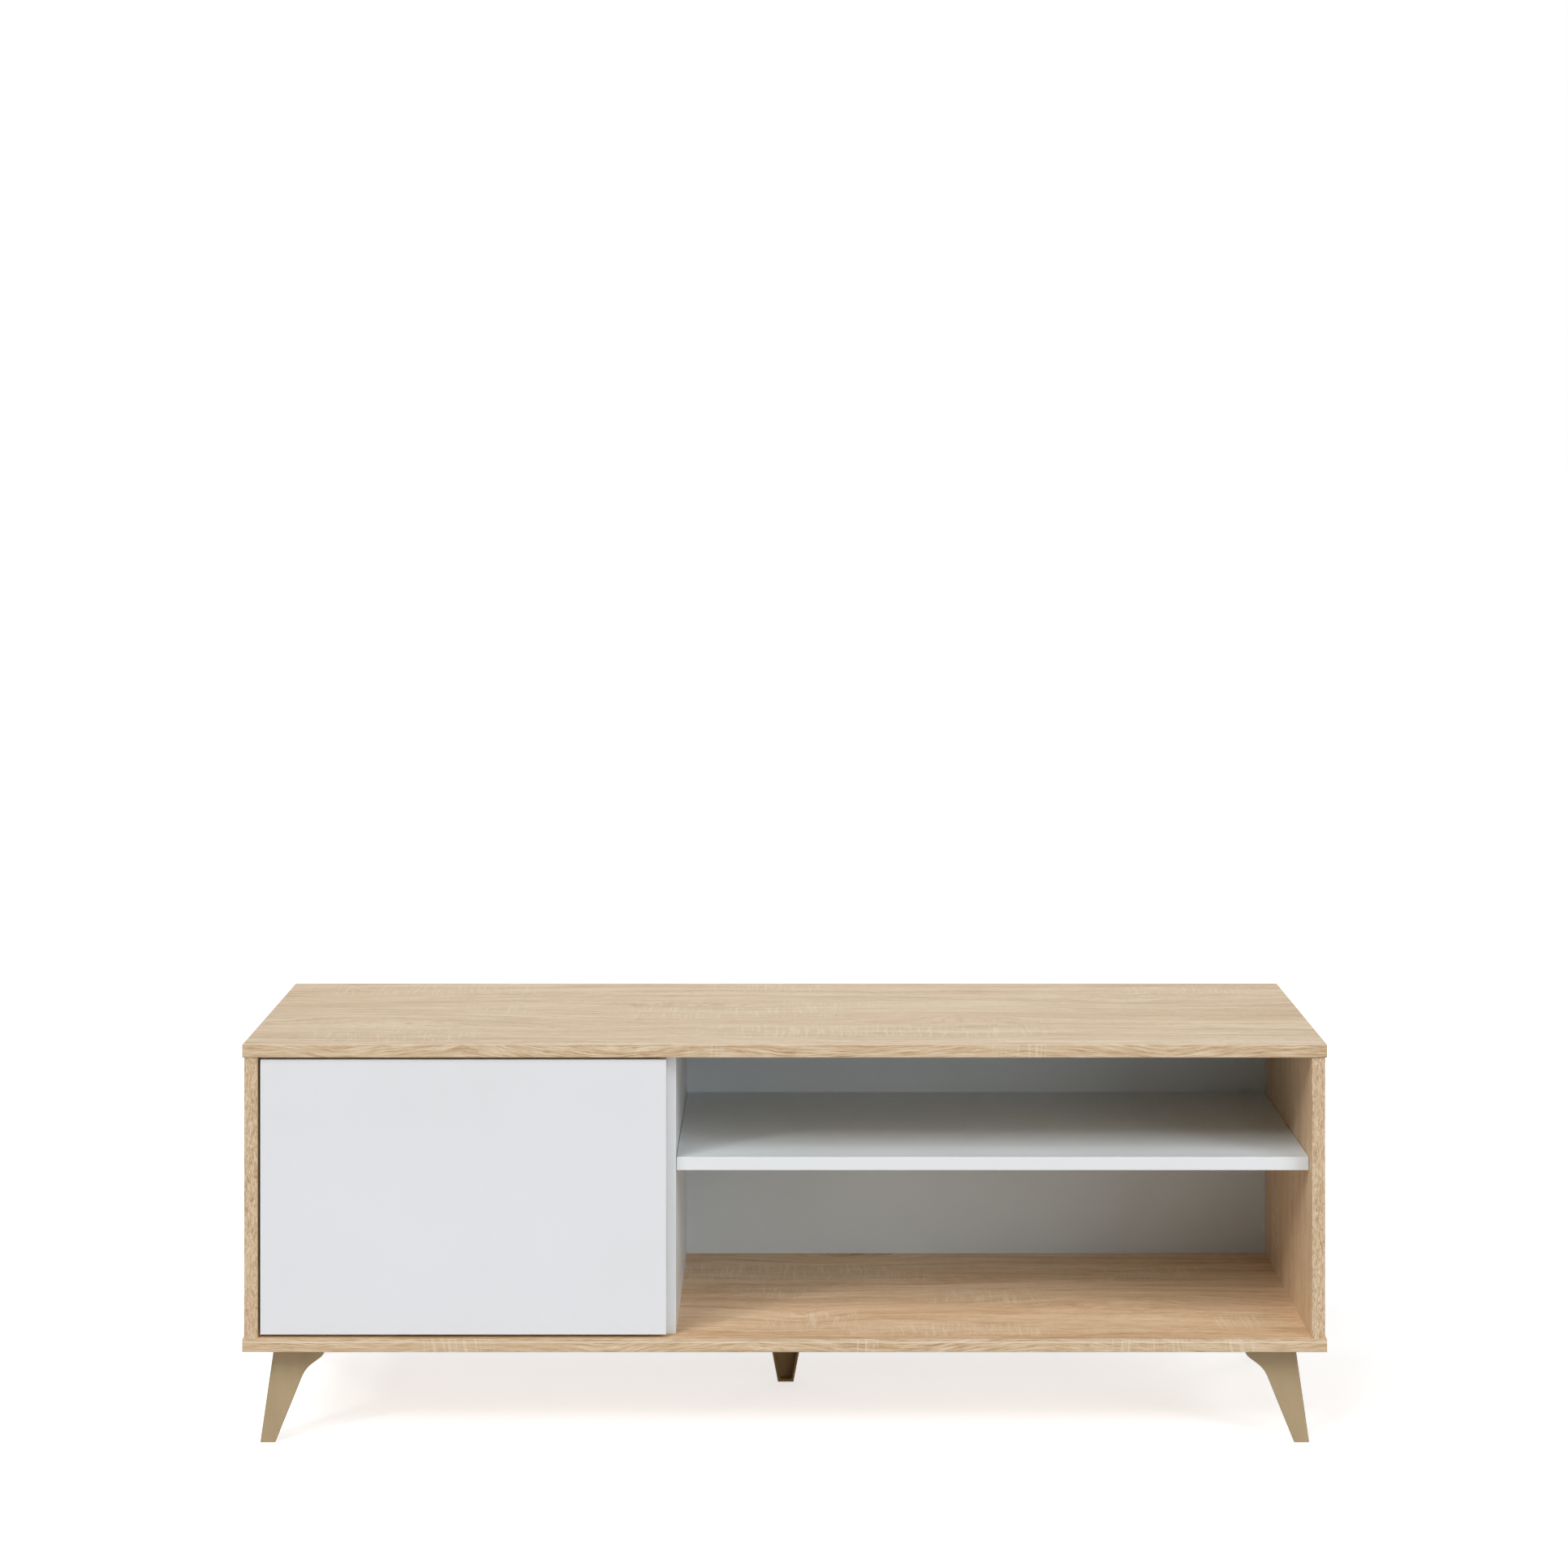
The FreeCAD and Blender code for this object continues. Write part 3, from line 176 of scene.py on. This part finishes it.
# ---------------------------------------------------------------------------
# Materials
# ---------------------------------------------------------------------------
def oak(name, axes="XY", seed=0.0, tone=(1.0, 1.0, 1.0), arches=(), saws=(), flow=1.0, fleck=0.0,
        contrast=1.0, coarse=1.0, fine=1.0, dense=1.0, stretch=1.0, saw_amount=0.34,
        painted_arris_highlight=(), chip_back=False):
    """Light oak-effect melamine. axes: the grain's axis, then the axis across it on the shown face.
    arches are (along, across, half length, half width, lift): places where the growth rings rise and
    close into a cathedral. saws are (along, across, half length, half width): patches of pale marks
    that a saw leaves across the grain."""
    t = Tree(name)
    co = t.coords()
    x, y, z = t.separate(co)
    # the end bands of the boards turn the corner, so along an edge x and y are one length
    pick = {"X": x, "Y": y, "Z": z, "P": t.math("ADD", x, y)}
    a, c = pick[axes[0]], pick[axes[1]]

    def field(fa, fc, w, detail=2.0, rough=0.5, line=None):
        v = t.combine(t.math("MULTIPLY", a, fa), t.math("MULTIPLY", c if line is None else line, fc), seed * 1.37 + w)
        return t.noise(v, 1.0, detail, rough)

    def centred(v, k):
        return t.math("MULTIPLY", t.math("SUBTRACT", v, 0.5), k)

    # rings: a slow wander, a medium wave and a small shiver of the lines
    ring = t.math("ADD", c, centred(field(1.3, 5.0, 0.0), 0.075 * flow))
    ring = t.math("ADD", ring, centred(field(5.5, 16.0, 3.0), 0.016 * flow))
    ring = t.math("ADD", ring, centred(field(38.0, 70.0, 5.0, 3.0, 0.6), 0.0022 + 0.0028 * fleck))
    if fleck:
        ring = t.math("ADD", ring, centred(field(20.0, 60.0, 6.0), 0.008 * fleck))
    for a0, c0, ra, rc, lift in arches:
        d = t.vmath("LENGTH", t.combine(
            t.math("DIVIDE", t.math("SUBTRACT", a, a0), ra), t.math("DIVIDE", t.math("SUBTRACT", c, c0), rc), 0.0))
        g = t.math("EXPONENT", t.math("MULTIPLY", t.math("MULTIPLY", d, d), -1.0))
        ring = t.math("ADD", ring, t.math("MULTIPLY", g, lift))

    broad = field(0.8, 10.0, 7.0, 2.0, 0.5, ring)
    along = 1.0 / stretch
    band = field((2.4 + 8.0 * fleck) * along, 46.0 * dense, 9.0, 3.0, 0.6, ring)
    streak = field((10.0 + 40.0 * fleck) * along, (170.0 + 60.0 * fleck) * dense, 11.0, 3.0, 0.65, ring)
    line = field((38.0 + 110.0 * fleck) * along, (520.0 + 120.0 * fleck) * dense ** 0.6, 13.0, 3.0, 0.68, ring)
    pore = field((85.0 + 75.0 * fleck) * along, 980.0 - 200.0 * fleck, 17.0, 2.0, 0.55, ring)
    open_grain = t.remap(field(2.4 + 9.0 * fleck, 26.0, 19.0, 2.0, 0.5, ring), 0.34, 0.60, 0.25, 1.0, smooth=True)
    dark_pore = t.math("MULTIPLY", t.remap(pore, 0.54, 0.68, smooth=True), open_grain)
    pale_line = t.remap(field((44.0 + 80.0 * fleck) * along, 700.0, 23.0, 2.0, 0.6, ring), 0.56, 0.72, smooth=True)

    v = t.math("ADD", centred(broad, 0.30 * coarse), 0.5)
    v = t.math("ADD", v, centred(band, 0.95 * coarse))
    v = t.math("ADD", v, centred(streak, 0.80 * contrast))
    v = t.math("ADD", v, centred(line, 0.92 * contrast * fine))

    def toned(r, g, b):
        q = rgb(r, g, b)
        return (min(1.0, q[0] * tone[0]), min(1.0, q[1] * tone[1]), min(1.0, q[2] * tone[2]), 1.0)

    col = t.ramp(v, [
        (0.08, toned(170, 135, 96)),
        (0.32, toned(198, 167, 128)),
        (0.50, toned(213, 185, 149)),
        (0.68, toned(222, 199, 167)),
        (0.92, toned(233, 216, 190)),
    ])
    # slightly redder stretches of the board
    col = t.mix(t.remap(field(0.9, 8.0, 29.0), 0.50, 0.72, 0.0, 0.30, smooth=True), col, toned(206, 170, 132))
    col = t.mix(t.math("MULTIPLY", dark_pore, 0.34 * contrast * min(fine, 1.3)), col, toned(142, 106, 70))
    col = t.mix(t.math("MULTIPLY", pale_line, 0.26 * contrast * min(fine, 1.6)), col, toned(240, 225, 200))

    # saw marks: short pale ticks across the grain and pale threads along it, in patches
    if saws:
        edge_wander = centred(field(30.0, 60.0, 31.0, 2.0), 0.9)
        patch = None
        for a0, c0, ra, rc in saws:
            qa = t.math("ABSOLUTE", t.math("DIVIDE", t.math("SUBTRACT", a, a0), ra))
            qc = t.math("ABSOLUTE", t.math("DIVIDE", t.math("SUBTRACT", c, c0), rc))
            q = t.math("ADD", t.math("MAXIMUM", t.math("MULTIPLY", qa, qa), qc), edge_wander)
            m = t.remap(q, 1.1, 0.55, smooth=True)
            patch = m if patch is None else t.math("MAXIMUM", patch, m)
        lean = t.math("ADD", a, centred(field(7.0, 16.0, 37.0), 0.016))

        def tick(fa, fc, w, lo, hi):
            v2 = t.combine(t.math("MULTIPLY", lean, fa), t.math("MULTIPLY", c, fc), seed * 1.37 + w)
            return t.remap(t.noise(v2, 1.0, 1.0, 0.5), lo, hi, smooth=True)

        ticks = t.math("MAXIMUM", tick(240.0, 13.0, 41.0, 0.54, 0.66), t.math("MULTIPLY", tick(460.0, 18.0, 43.0, 0.52, 0.70), 0.7))
        threads = t.remap(field(24.0, 460.0, 47.0, 2.0, 0.5, ring), 0.50, 0.68, 0.0, 0.7, smooth=True)
        marks = t.math("MULTIPLY", t.math("MAXIMUM", ticks, threads), patch)
        col = t.mix(t.math("MULTIPLY", patch, 0.12), col, toned(200, 172, 136))
        col = t.mix(t.math("MULTIPLY", marks, saw_amount), col, toned(243, 229, 206))
    if painted_arris_highlight:
        # painted highlight: a fine pale line along the rounded corner of the band, where the light catches it
        lit = None
        for lo, hi in painted_arris_highlight:
            m = t.remap(t.math("ABSOLUTE", t.math("SUBTRACT", pick["Z"] if axes[1] == "Z" else c, lo)), hi, hi * 0.4, smooth=True)
            lit = m if lit is None else t.math("MAXIMUM", lit, m)
        col = t.mix(t.math("MULTIPLY", lit, 0.45), col, toned(246, 234, 214))

    rough = t.remap(t.math("ADD", line, t.math("MULTIPLY", dark_pore, 0.5)), 0.25, 1.2, 0.46, 0.64)
    height = t.math("SUBTRACT", t.math("MULTIPLY", line, 0.5), t.math("MULTIPLY", dark_pore, 0.7))
    normal = t.bump(height, 0.25, 0.0002)

    if chip_back:
        # the raw, unbanded rear edge shows the chipboard
        at_back = t.math("GREATER_THAN", y, 0.1995)
        chip_n = t.n("ShaderNodeTexVoronoi", feature="F1")
        t.put(chip_n.inputs["Vector"], t.scaled(co, (360.0, 360.0, 620.0)))
        chips = t.ramp(t.separate(chip_n.outputs["Color"])[0], [
            (0.0, rgb(120, 92, 62)), (0.35, rgb(168, 136, 98)), (0.7, rgb(196, 166, 124)), (1.0, rgb(214, 190, 152))])
        grit = t.noise(t.scaled(co, (1500.0, 1500.0, 1500.0)), 1.0, 2.0, 0.6)
        chips = t.mix(t.remap(grit, 0.35, 0.6), (0.16, 0.105, 0.06, 1), chips)
        col = t.mix(at_back, col, chips)
        rough = t.math("MAXIMUM", rough, t.math("MULTIPLY", at_back, 0.9))
    t.link(col, t.bsdf.inputs["Base Color"])
    t.link(rough, t.bsdf.inputs["Roughness"])
    t.link(normal, t.bsdf.inputs["Normal"])
    t.bsdf.inputs["Specular IOR Level"].default_value = 0.5
    return t.mat


def white_board(name, base=(229, 230, 232), seed=0.0, chip=False, rough0=0.34, rough1=0.46):
    """White melamine: faint pebble, slightly uneven gloss."""
    t = Tree(name)
    co = t.vmath("ADD", t.coords(), (seed, seed * 0.7, seed * 0.3))
    big = t.noise(t.scaled(co, (6.0, 6.0, 6.0)), 1.0, 2.0, 0.5)
    pebble = t.noise(t.scaled(co, (950.0, 950.0, 950.0)), 1.0, 2.0, 0.55)
    orange = t.noise(t.scaled(co, (260.0, 260.0, 260.0)), 1.0, 1.0, 0.5)
    c0 = rgb(*base)
    c1 = rgb(base[0] - 1.5, base[1] - 1.5, base[2] - 2)
    c2 = rgb(min(255, base[0] + 1), min(255, base[1] + 1), min(255, base[2] + 1))
    col = t.ramp(big, [(0.3, c1), (0.5, c0), (0.7, c2)])
    col = t.mix(t.math("MULTIPLY", t.remap(pebble, 0.55, 0.75), 0.06), col, rgb(196, 197, 199))
    rough = t.remap(t.math("ADD", t.math("MULTIPLY", big, 0.5), t.math("MULTIPLY", orange, 0.5)), 0.3, 0.7, rough0, rough1)
    t.link(col, t.bsdf.inputs["Base Color"])
    t.link(rough, t.bsdf.inputs["Roughness"])
    n1 = t.bump(pebble, 0.10, 0.00012)
    n2 = t.bump(orange, 0.06, 0.0002, n1)
    t.link(n2, t.bsdf.inputs["Normal"])
    t.bsdf.inputs["Specular IOR Level"].default_value = 0.45
    return t.mat


def hardboard(name):
    """Thin fibreboard: painted white in front, raw brown behind."""
    t = Tree(name)
    co = t.coords()
    px, py, pz = t.separate(co)
    behind = t.math("GREATER_THAN", py, 0.1855)
    mottled = t.noise(t.scaled(co, (7.0, 7.0, 7.0)), 1.0, 3.0, 0.55)
    pebble = t.noise(t.scaled(co, (700.0, 700.0, 700.0)), 1.0, 2.0, 0.6)
    front = t.ramp(mottled, [(0.3, rgb(215, 224, 229)), (0.7, rgb(219, 228, 233))])
    fib = t.noise(t.scaled(co, (260.0, 260.0, 260.0)), 1.0, 4.0, 0.7, 0.6)
    back = t.ramp(fib, [(0.25, rgb(112, 78, 52)), (0.5, rgb(140, 102, 69)), (0.75, rgb(164, 126, 88))])
    screen = t.math("MULTIPLY", t.math("SINE", t.math("MULTIPLY", px, 3600.0)), t.math("SINE", t.math("MULTIPLY", pz, 3600.0)))
    col = t.mix(behind, front, back)
    height = t.math("ADD", t.math("MULTIPLY", pebble, 0.4), t.math("MULTIPLY", t.math("MULTIPLY", screen, behind), 0.6))
    t.link(col, t.bsdf.inputs["Base Color"])
    t.link(t.remap(t.math("ADD", behind, t.math("MULTIPLY", pebble, 0.2)), 0.0, 1.2, 0.5, 0.88), t.bsdf.inputs["Roughness"])
    t.link(t.bump(height, 0.25, 0.0003), t.bsdf.inputs["Normal"])
    t.bsdf.inputs["Specular IOR Level"].default_value = 0.3
    return t.mat


def leg_plastic(name, tone=(1.0, 1.0, 1.0)):
    """Gold-brown moulded plastic with a fine sparked texture and a soft sheen."""
    t = Tree(name)
    co = t.coords()
    spark = t.noise(t.scaled(co, (1300.0, 1300.0, 1300.0)), 1.0, 3.0, 0.6)
    flow = t.noise(t.scaled(co, (30.0, 30.0, 9.0)), 1.0, 3.0, 0.5)
    def toned(r, g, b):
        q = rgb(r, g, b)
        return (q[0] * tone[0], q[1] * tone[1], q[2] * tone[2], 1.0)

    col = t.ramp(flow, [(0.3, toned(157, 137, 104)), (0.5, toned(163, 143, 110)), (0.7, toned(169, 149, 116))])
    col = t.mix(t.math("MULTIPLY", t.remap(spark, 0.45, 0.7), 0.16), col, toned(196, 178, 146))
    t.link(col, t.bsdf.inputs["Base Color"])
    t.link(t.remap(spark, 0.3, 0.7, 0.40, 0.56), t.bsdf.inputs["Roughness"])
    t.bsdf.inputs["Metallic"].default_value = 0.15
    t.link(t.bump(spark, 0.18, 0.00012), t.bsdf.inputs["Normal"])
    return t.mat


def metal(name, base, rough0, rough1, brushed=(400.0, 400.0, 400.0), strength=0.08):
    t = Tree(name)
    co = t.coords()
    grain = t.noise(t.scaled(co, brushed), 1.0, 3.0, 0.6)
    cloud = t.noise(t.scaled(co, (60.0, 60.0, 60.0)), 1.0, 2.0, 0.5)
    dark = rgb(base[0] - 22, base[1] - 22, base[2] - 20)
    col = t.ramp(t.math("ADD", t.math("MULTIPLY", grain, 0.5), t.math("MULTIPLY", cloud, 0.5)),
                 [(0.3, dark), (0.65, rgb(*base))])
    t.link(col, t.bsdf.inputs["Base Color"])
    t.bsdf.inputs["Metallic"].default_value = 1.0
    t.link(t.remap(grain, 0.3, 0.7, rough0, rough1), t.bsdf.inputs["Roughness"])
    t.link(t.bump(grain, strength, 0.0001), t.bsdf.inputs["Normal"])
    return t.mat


def plastic(name, base, rough0=0.38, rough1=0.52):
    t = Tree(name)
    co = t.coords()
    spark = t.noise(t.scaled(co, (1400.0, 1400.0, 1400.0)), 1.0, 2.0, 0.6)
    cloud = t.noise(t.scaled(co, (40.0, 40.0, 40.0)), 1.0, 2.0, 0.5)
    col = t.ramp(cloud, [(0.3, rgb(base[0] - 6, base[1] - 6, base[2] - 6)), (0.7, rgb(*base))])
    t.link(col, t.bsdf.inputs["Base Color"])
    t.link(t.remap(spark, 0.3, 0.7, rough0, rough1), t.bsdf.inputs["Roughness"])
    t.link(t.bump(spark, 0.12, 0.0001), t.bsdf.inputs["Normal"])
    return t.mat


def beech(name):
    t = Tree(name)
    co = t.coords()
    ray = t.noise(t.scaled(co, (900.0, 900.0, 60.0)), 1.0, 3.0, 0.6)
    col = t.ramp(ray, [(0.3, rgb(186, 146, 104)), (0.7, rgb(216, 180, 136))])
    t.link(col, t.bsdf.inputs["Base Color"])
    t.link(t.remap(ray, 0.3, 0.7, 0.55, 0.75), t.bsdf.inputs["Roughness"])
    t.link(t.bump(ray, 0.3, 0.0002), t.bsdf.inputs["Normal"])
    return t.mat


# patches and arches are listed one by one for each board, in metres
TOP_SAWS = [(-0.47, -0.150, 0.11, 0.040), (-0.36, 0.02, 0.05, 0.030), (-0.06, 0.00, 0.16, 0.040),
            (0.10, -0.120, 0.24, 0.045), (-0.46, 0.155, 0.15, 0.035), (-0.02, 0.165, 0.08, 0.030),
            (0.53, 0.150, 0.10, 0.030), (0.05, 0.05, 0.06, 0.025)]
TOP_ARCHES = [(-0.10, 0.03, 0.16, 0.030, 0.030), (0.22, -0.03, 0.10, 0.030, -0.034), (0.48, 0.06, 0.22, 0.05, 0.04),
              (-0.50, -0.03, 0.20, 0.045, -0.036)]
BOTTOM_SAWS = [(0.02, 0.090, 0.17, 0.045), (-0.02, 0.00, 0.05, 0.030), (0.26, -0.015, 0.08, 0.035),
               (0.47, 0.085, 0.07, 0.035), (0.03, -0.125, 0.06, 0.045), (0.20, -0.160, 0.14, 0.030),
               (0.57, -0.13, 0.05, 0.03), (-0.40, -0.05, 0.14, 0.04)]
BOTTOM_ARCHES = [(0.07, 0.16, 0.10, 0.030, 0.034), (0.02, -0.11, 0.05, 0.030, 0.030), (0.40, -0.02, 0.20, 0.05, -0.04),
                 (-0.40, 0.10, 0.2, 0.05, 0.04)]
EDGE_TONE = (0.905, 0.91, 0.92)
TOP_TONE = (1.02, 1.045, 1.06)
BOTTOM_TONE = (1.185, 1.115, 1.085)
SIDE_TONE = (1.075, 1.035, 1.03)
MATS = {
    "top": oak("oak_top", "XY", 0.0, TOP_TONE, arches=TOP_ARCHES, saws=TOP_SAWS, saw_amount=0.26,
               chip_back=True),
    "bottom": oak("oak_bottom", "XY", 2.3, BOTTOM_TONE, arches=BOTTOM_ARCHES, saws=BOTTOM_SAWS, chip_back=True),
    "side_l": oak("oak_side_left", "ZY", 4.1, SIDE_TONE, saws=[(0.20, -0.05, 0.06, 0.03), (0.36, 0.09, 0.05, 0.025)],
                  arches=[(0.30, 0.02, 0.14, 0.04, 0.012)], fleck=0.25, contrast=0.75, coarse=0.55, chip_back=True),
    "side_r": oak("oak_side_right", "ZY", 5.7, SIDE_TONE, saws=[(0.33, -0.06, 0.06, 0.03), (0.20, 0.10, 0.05, 0.025)],
                  arches=[(0.25, -0.01, 0.14, 0.04, -0.012)], fleck=0.25, contrast=0.75, coarse=0.55, chip_back=True),
    # on the bands "along" is x + y, so a place on the front edge is x - 0.2
    "edge_top": oak("oak_edge_top", "PZ", 7.2, EDGE_TONE, flow=0.55, fleck=0.04, contrast=0.9, coarse=0.30, fine=2.3,
                    dense=2.7, stretch=1.5, saw_amount=0.38,
                    saws=[(-0.293, 0.475, 0.025, 0.02), (0.082, 0.475, 0.035, 0.02)],
                    arches=[(-0.43, 0.466, 0.1, 0.014, 0.0099), (-0.72, 0.47, 0.06, 0.012, 0.0074),
                            (0.04, 0.484, 0.1, 0.012, -0.0074), (-0.19, 0.463, 0.09, 0.014, 0.0081),
                            (0.26, 0.468, 0.07, 0.014, 0.0087), (0.45, 0.484, 0.11, 0.012, -0.0074),
                            (-0.58, 0.486, 0.06, 0.012, -0.0074)],
                    painted_arris_highlight=[(0.4832, 0.0014)]),
    "edge_bottom": oak("oak_edge_bottom", "PZ", 9.4, (0.895, 0.894, 0.888), flow=0.55, fleck=0.04, contrast=0.9, coarse=0.30, fine=2.3,
                       dense=2.7, stretch=1.5, saw_amount=0.38,
                       saws=[(-0.591, 0.118, 0.045, 0.02), (0.233, 0.118, 0.06, 0.02), (-0.115, 0.118, 0.03, 0.02),
                             (0.344, 0.118, 0.022, 0.02)],
                       arches=[(-0.41, 0.109, 0.05, 0.014, 0.0112), (-0.7, 0.112, 0.07, 0.013, 0.0062),
                               (0.12, 0.128, 0.09, 0.012, -0.0074), (-0.05, 0.11, 0.09, 0.013, 0.0074),
                               (0.4, 0.112, 0.07, 0.014, 0.0074), (-0.25, 0.128, 0.08, 0.012, -0.0074)],
                       painted_arris_highlight=[(0.1262, 0.0014)]),
    "edge_side": oak("oak_edge_side", "ZX", 11.3, EDGE_TONE, flow=0.4, fleck=1.25, contrast=1.0, coarse=0.14, fine=2.6, dense=1.7),
    "white": white_board("white_melamine", (222, 230, 236)),
    "white_edge": white_board("white_edge_band", (227, 229, 231), 3.0, rough0=0.28, rough1=0.38),
    "divider": white_board("white_divider", (217, 221, 224), 7.0),
    "divider_edge": white_board("white_divider_edge", (230, 232, 234), 8.0, rough0=0.28, rough1=0.38),
    "door": white_board("white_door", (224, 225, 228), 5.0),
    "hardboard": hardboard("white_hardboard"),
    "leg": leg_plastic("leg_plastic"),
    # the centre leg's copy of the plastic is darker and browner: painted shade for the shade it stands in under the
    # cabinet
    "leg_painted_shade": leg_plastic("leg_plastic_middle", (0.80, 0.68, 0.52)),
    "zinc": metal("zinc_plate", (196, 198, 200), 0.24, 0.42),
    "alloy": metal("zinc_alloy", (168, 170, 172), 0.36, 0.55, strength=0.18),
    "nickel": metal("nickel_plate", (204, 203, 199), 0.16, 0.30, (120.0, 500.0, 500.0)),
    "grey": plastic("grey_plastic", (176, 179, 182)),
    "beech": beech("beech"),
}
USE = {
    "top_panel": "top", "bottom_panel": "bottom", "side_panel_left": "side_l", "side_panel_right": "side_r",
    "divider_panel": "divider", "shelf": "white", "back_panel": "hardboard", "door_panel": "door",
    "top_edge_bands": "edge_top", "bottom_edge_bands": "edge_bottom",
    "side_edge_band_left": "edge_side", "side_edge_band_right": "edge_side",
    "divider_edge_band": "divider_edge", "shelf_edge_band": "white_edge", "door_edge_bands": "door",
    "dowels": "beech", "cam_bolts": "zinc", "cam_locks": "alloy", "cam_cover_caps": "side_l",
    "confirmat_screws": "zinc", "back_panel_screws": "zinc", "shelf_supports": "nickel",
    "leg_front_left": "leg", "leg_front_right": "leg", "leg_rear_right": "leg", "leg_rear_left": "leg",
    "leg_centre": "leg_painted_shade", "leg_screws": "zinc",
    "hinge_arm_lower": "nickel", "hinge_arm_upper": "nickel", "hinge_plate_lower": "nickel",
    "hinge_plate_upper": "nickel", "hinge_cup_lower": "nickel", "hinge_cup_upper": "nickel",
    "hinge_pins": "zinc", "hinge_plate_screws": "zinc", "hinge_cup_screws": "zinc", "hinge_arm_screws": "zinc",
    "latch_housing": "grey", "latch_screws": "zinc", "latch_plunger": "grey", "latch_spring": "zinc",
    "strike_plate": "zinc", "strike_screw": "zinc",
}


def cad_objects():
    found = {}
    for o in bpy.data.objects:
        if o.type == "MESH" and o.name in USE:
            found[o.name] = o
    return found


CAD = cad_objects()
missing = sorted(set(USE) - set(CAD))
if missing:
    raise SystemExit("no CAD object for " + ", ".join(missing))
for name, key in USE.items():
    o = CAD[name]
    if not o.material_slots:
        o.data.materials.append(MATS[key])
    for s in o.material_slots:
        s.link = "OBJECT"
        s.material = MATS[key]

# ---------------------------------------------------------------------------
# Floor and light
# ---------------------------------------------------------------------------
# A wide pale floor that turns to the white of the background with distance.
floor_t = Tree("pale_floor")
floor_t.bsdf.inputs["Base Color"].default_value = (0.76, 0.76, 0.76, 1)
floor_t.bsdf.inputs["Roughness"].default_value = 0.9
floor_t.bsdf.inputs["Specular IOR Level"].default_value = 0.0
floor_t.bsdf.inputs["Emission Color"].default_value = (1, 1, 1, 1)
far = floor_t.remap(floor_t.vmath("LENGTH", floor_t.coords()), 0.7, 4.0, 0.64, 0.66, smooth=True)
seen = floor_t.n("ShaderNodeLightPath").outputs["Is Camera Ray"]
floor_t.put(floor_t.bsdf.inputs["Emission Strength"], floor_t.math("MULTIPLY", far, seen))
me = bpy.data.meshes.new("floor")
me.from_pydata([(-60, -60, 0), (60, -60, 0), (60, 60, 0), (-60, 60, 0)], [], [(0, 1, 2, 3)])
me.materials.append(floor_t.mat)
floor = bpy.data.objects.new("floor", me)
scene.collection.objects.link(floor)

# white all round, for the eye and in reflections; the soft lights do the lighting
world = bpy.data.worlds.new("studio")
scene.world = world
world.use_nodes = True
bg = world.node_tree.nodes["Background"]
bg.inputs["Color"].default_value = (1.0, 1.0, 1.0, 1)
path = world.node_tree.nodes.new("ShaderNodeLightPath")
how = world.node_tree.nodes.new("ShaderNodeMapRange")
world.node_tree.links.new(path.outputs["Is Camera Ray"], how.inputs["Value"])
how.inputs["To Min"].default_value = 0.58
how.inputs["To Max"].default_value = 1.0
world.node_tree.links.new(how.outputs["Result"], bg.inputs["Strength"])
world.cycles_visibility.diffuse = False


def soft_light(name, azimuth, elevation, strength, spread=26.0):
    """A wide, distant soft light. Azimuth 0 is in front, 90 at the right."""
    az, el = math.radians(azimuth), math.radians(elevation)
    d = bpy.data.lights.new(name, "SUN")
    d.angle = math.radians(spread)
    d.energy = strength
    o = bpy.data.objects.new(name, d)
    way = mathutils.Vector((math.sin(az) * math.cos(el), -math.cos(az) * math.cos(el), math.sin(el)))
    o.location = way * 5.0
    o.rotation_euler = way.to_track_quat("Z", "Y").to_euler()
    scene.collection.objects.link(o)
    return o


for name, azimuth, elevation, strength, spread in (
        ("key", -34, 50, 1.28, 26),
        ("key_crisp", -43, 31, 0.52, 7),
        ("key_front", 20, 50, 0.22, 26),
        ("left_low", -60, 8, 0.18, 26),
        ("left_high", -100, 55, 0.24, 26),
        ("front_low", 16, 8, 0.15, 26),
        ("right_low", 38, 8, 0.44, 26),
        ("front", 25, 28, 0.10, 26),
        ("right", 50, 28, 0.83, 26),
        ("behind_low", 180, 18, 0.17, 26),
        ("behind_left", -140, 20, 0.34, 26),
        ("behind_right", 140, 20, 0.34, 26),
        ("behind", 180, 60, 0.16, 26)):
    soft_light(name, azimuth, elevation, strength, spread)

# ---------------------------------------------------------------------------
# Camera: level, square on to the front, a little right of centre, above the top
# ---------------------------------------------------------------------------
cam_d = bpy.data.cameras.new("camera")
cam_d.sensor_width = 36.0
cam_d.sensor_fit = "HORIZONTAL"
cam_d.lens = 72.6
cam_d.shift_x = -0.0110
cam_d.shift_y = -0.2406
cam_d.clip_end = 60.0
cam = bpy.data.objects.new("camera", cam_d)
cam.location = (0.0199, -3.988, 1.2468)
cam.rotation_euler = (math.pi / 2, 0.0, 0.0)
scene.collection.objects.link(cam)
scene.camera = cam

scene.view_settings.view_transform = "Standard"
scene.view_settings.look = "None"
scene.view_settings.exposure = 0.0
scene.view_settings.gamma = 1.0
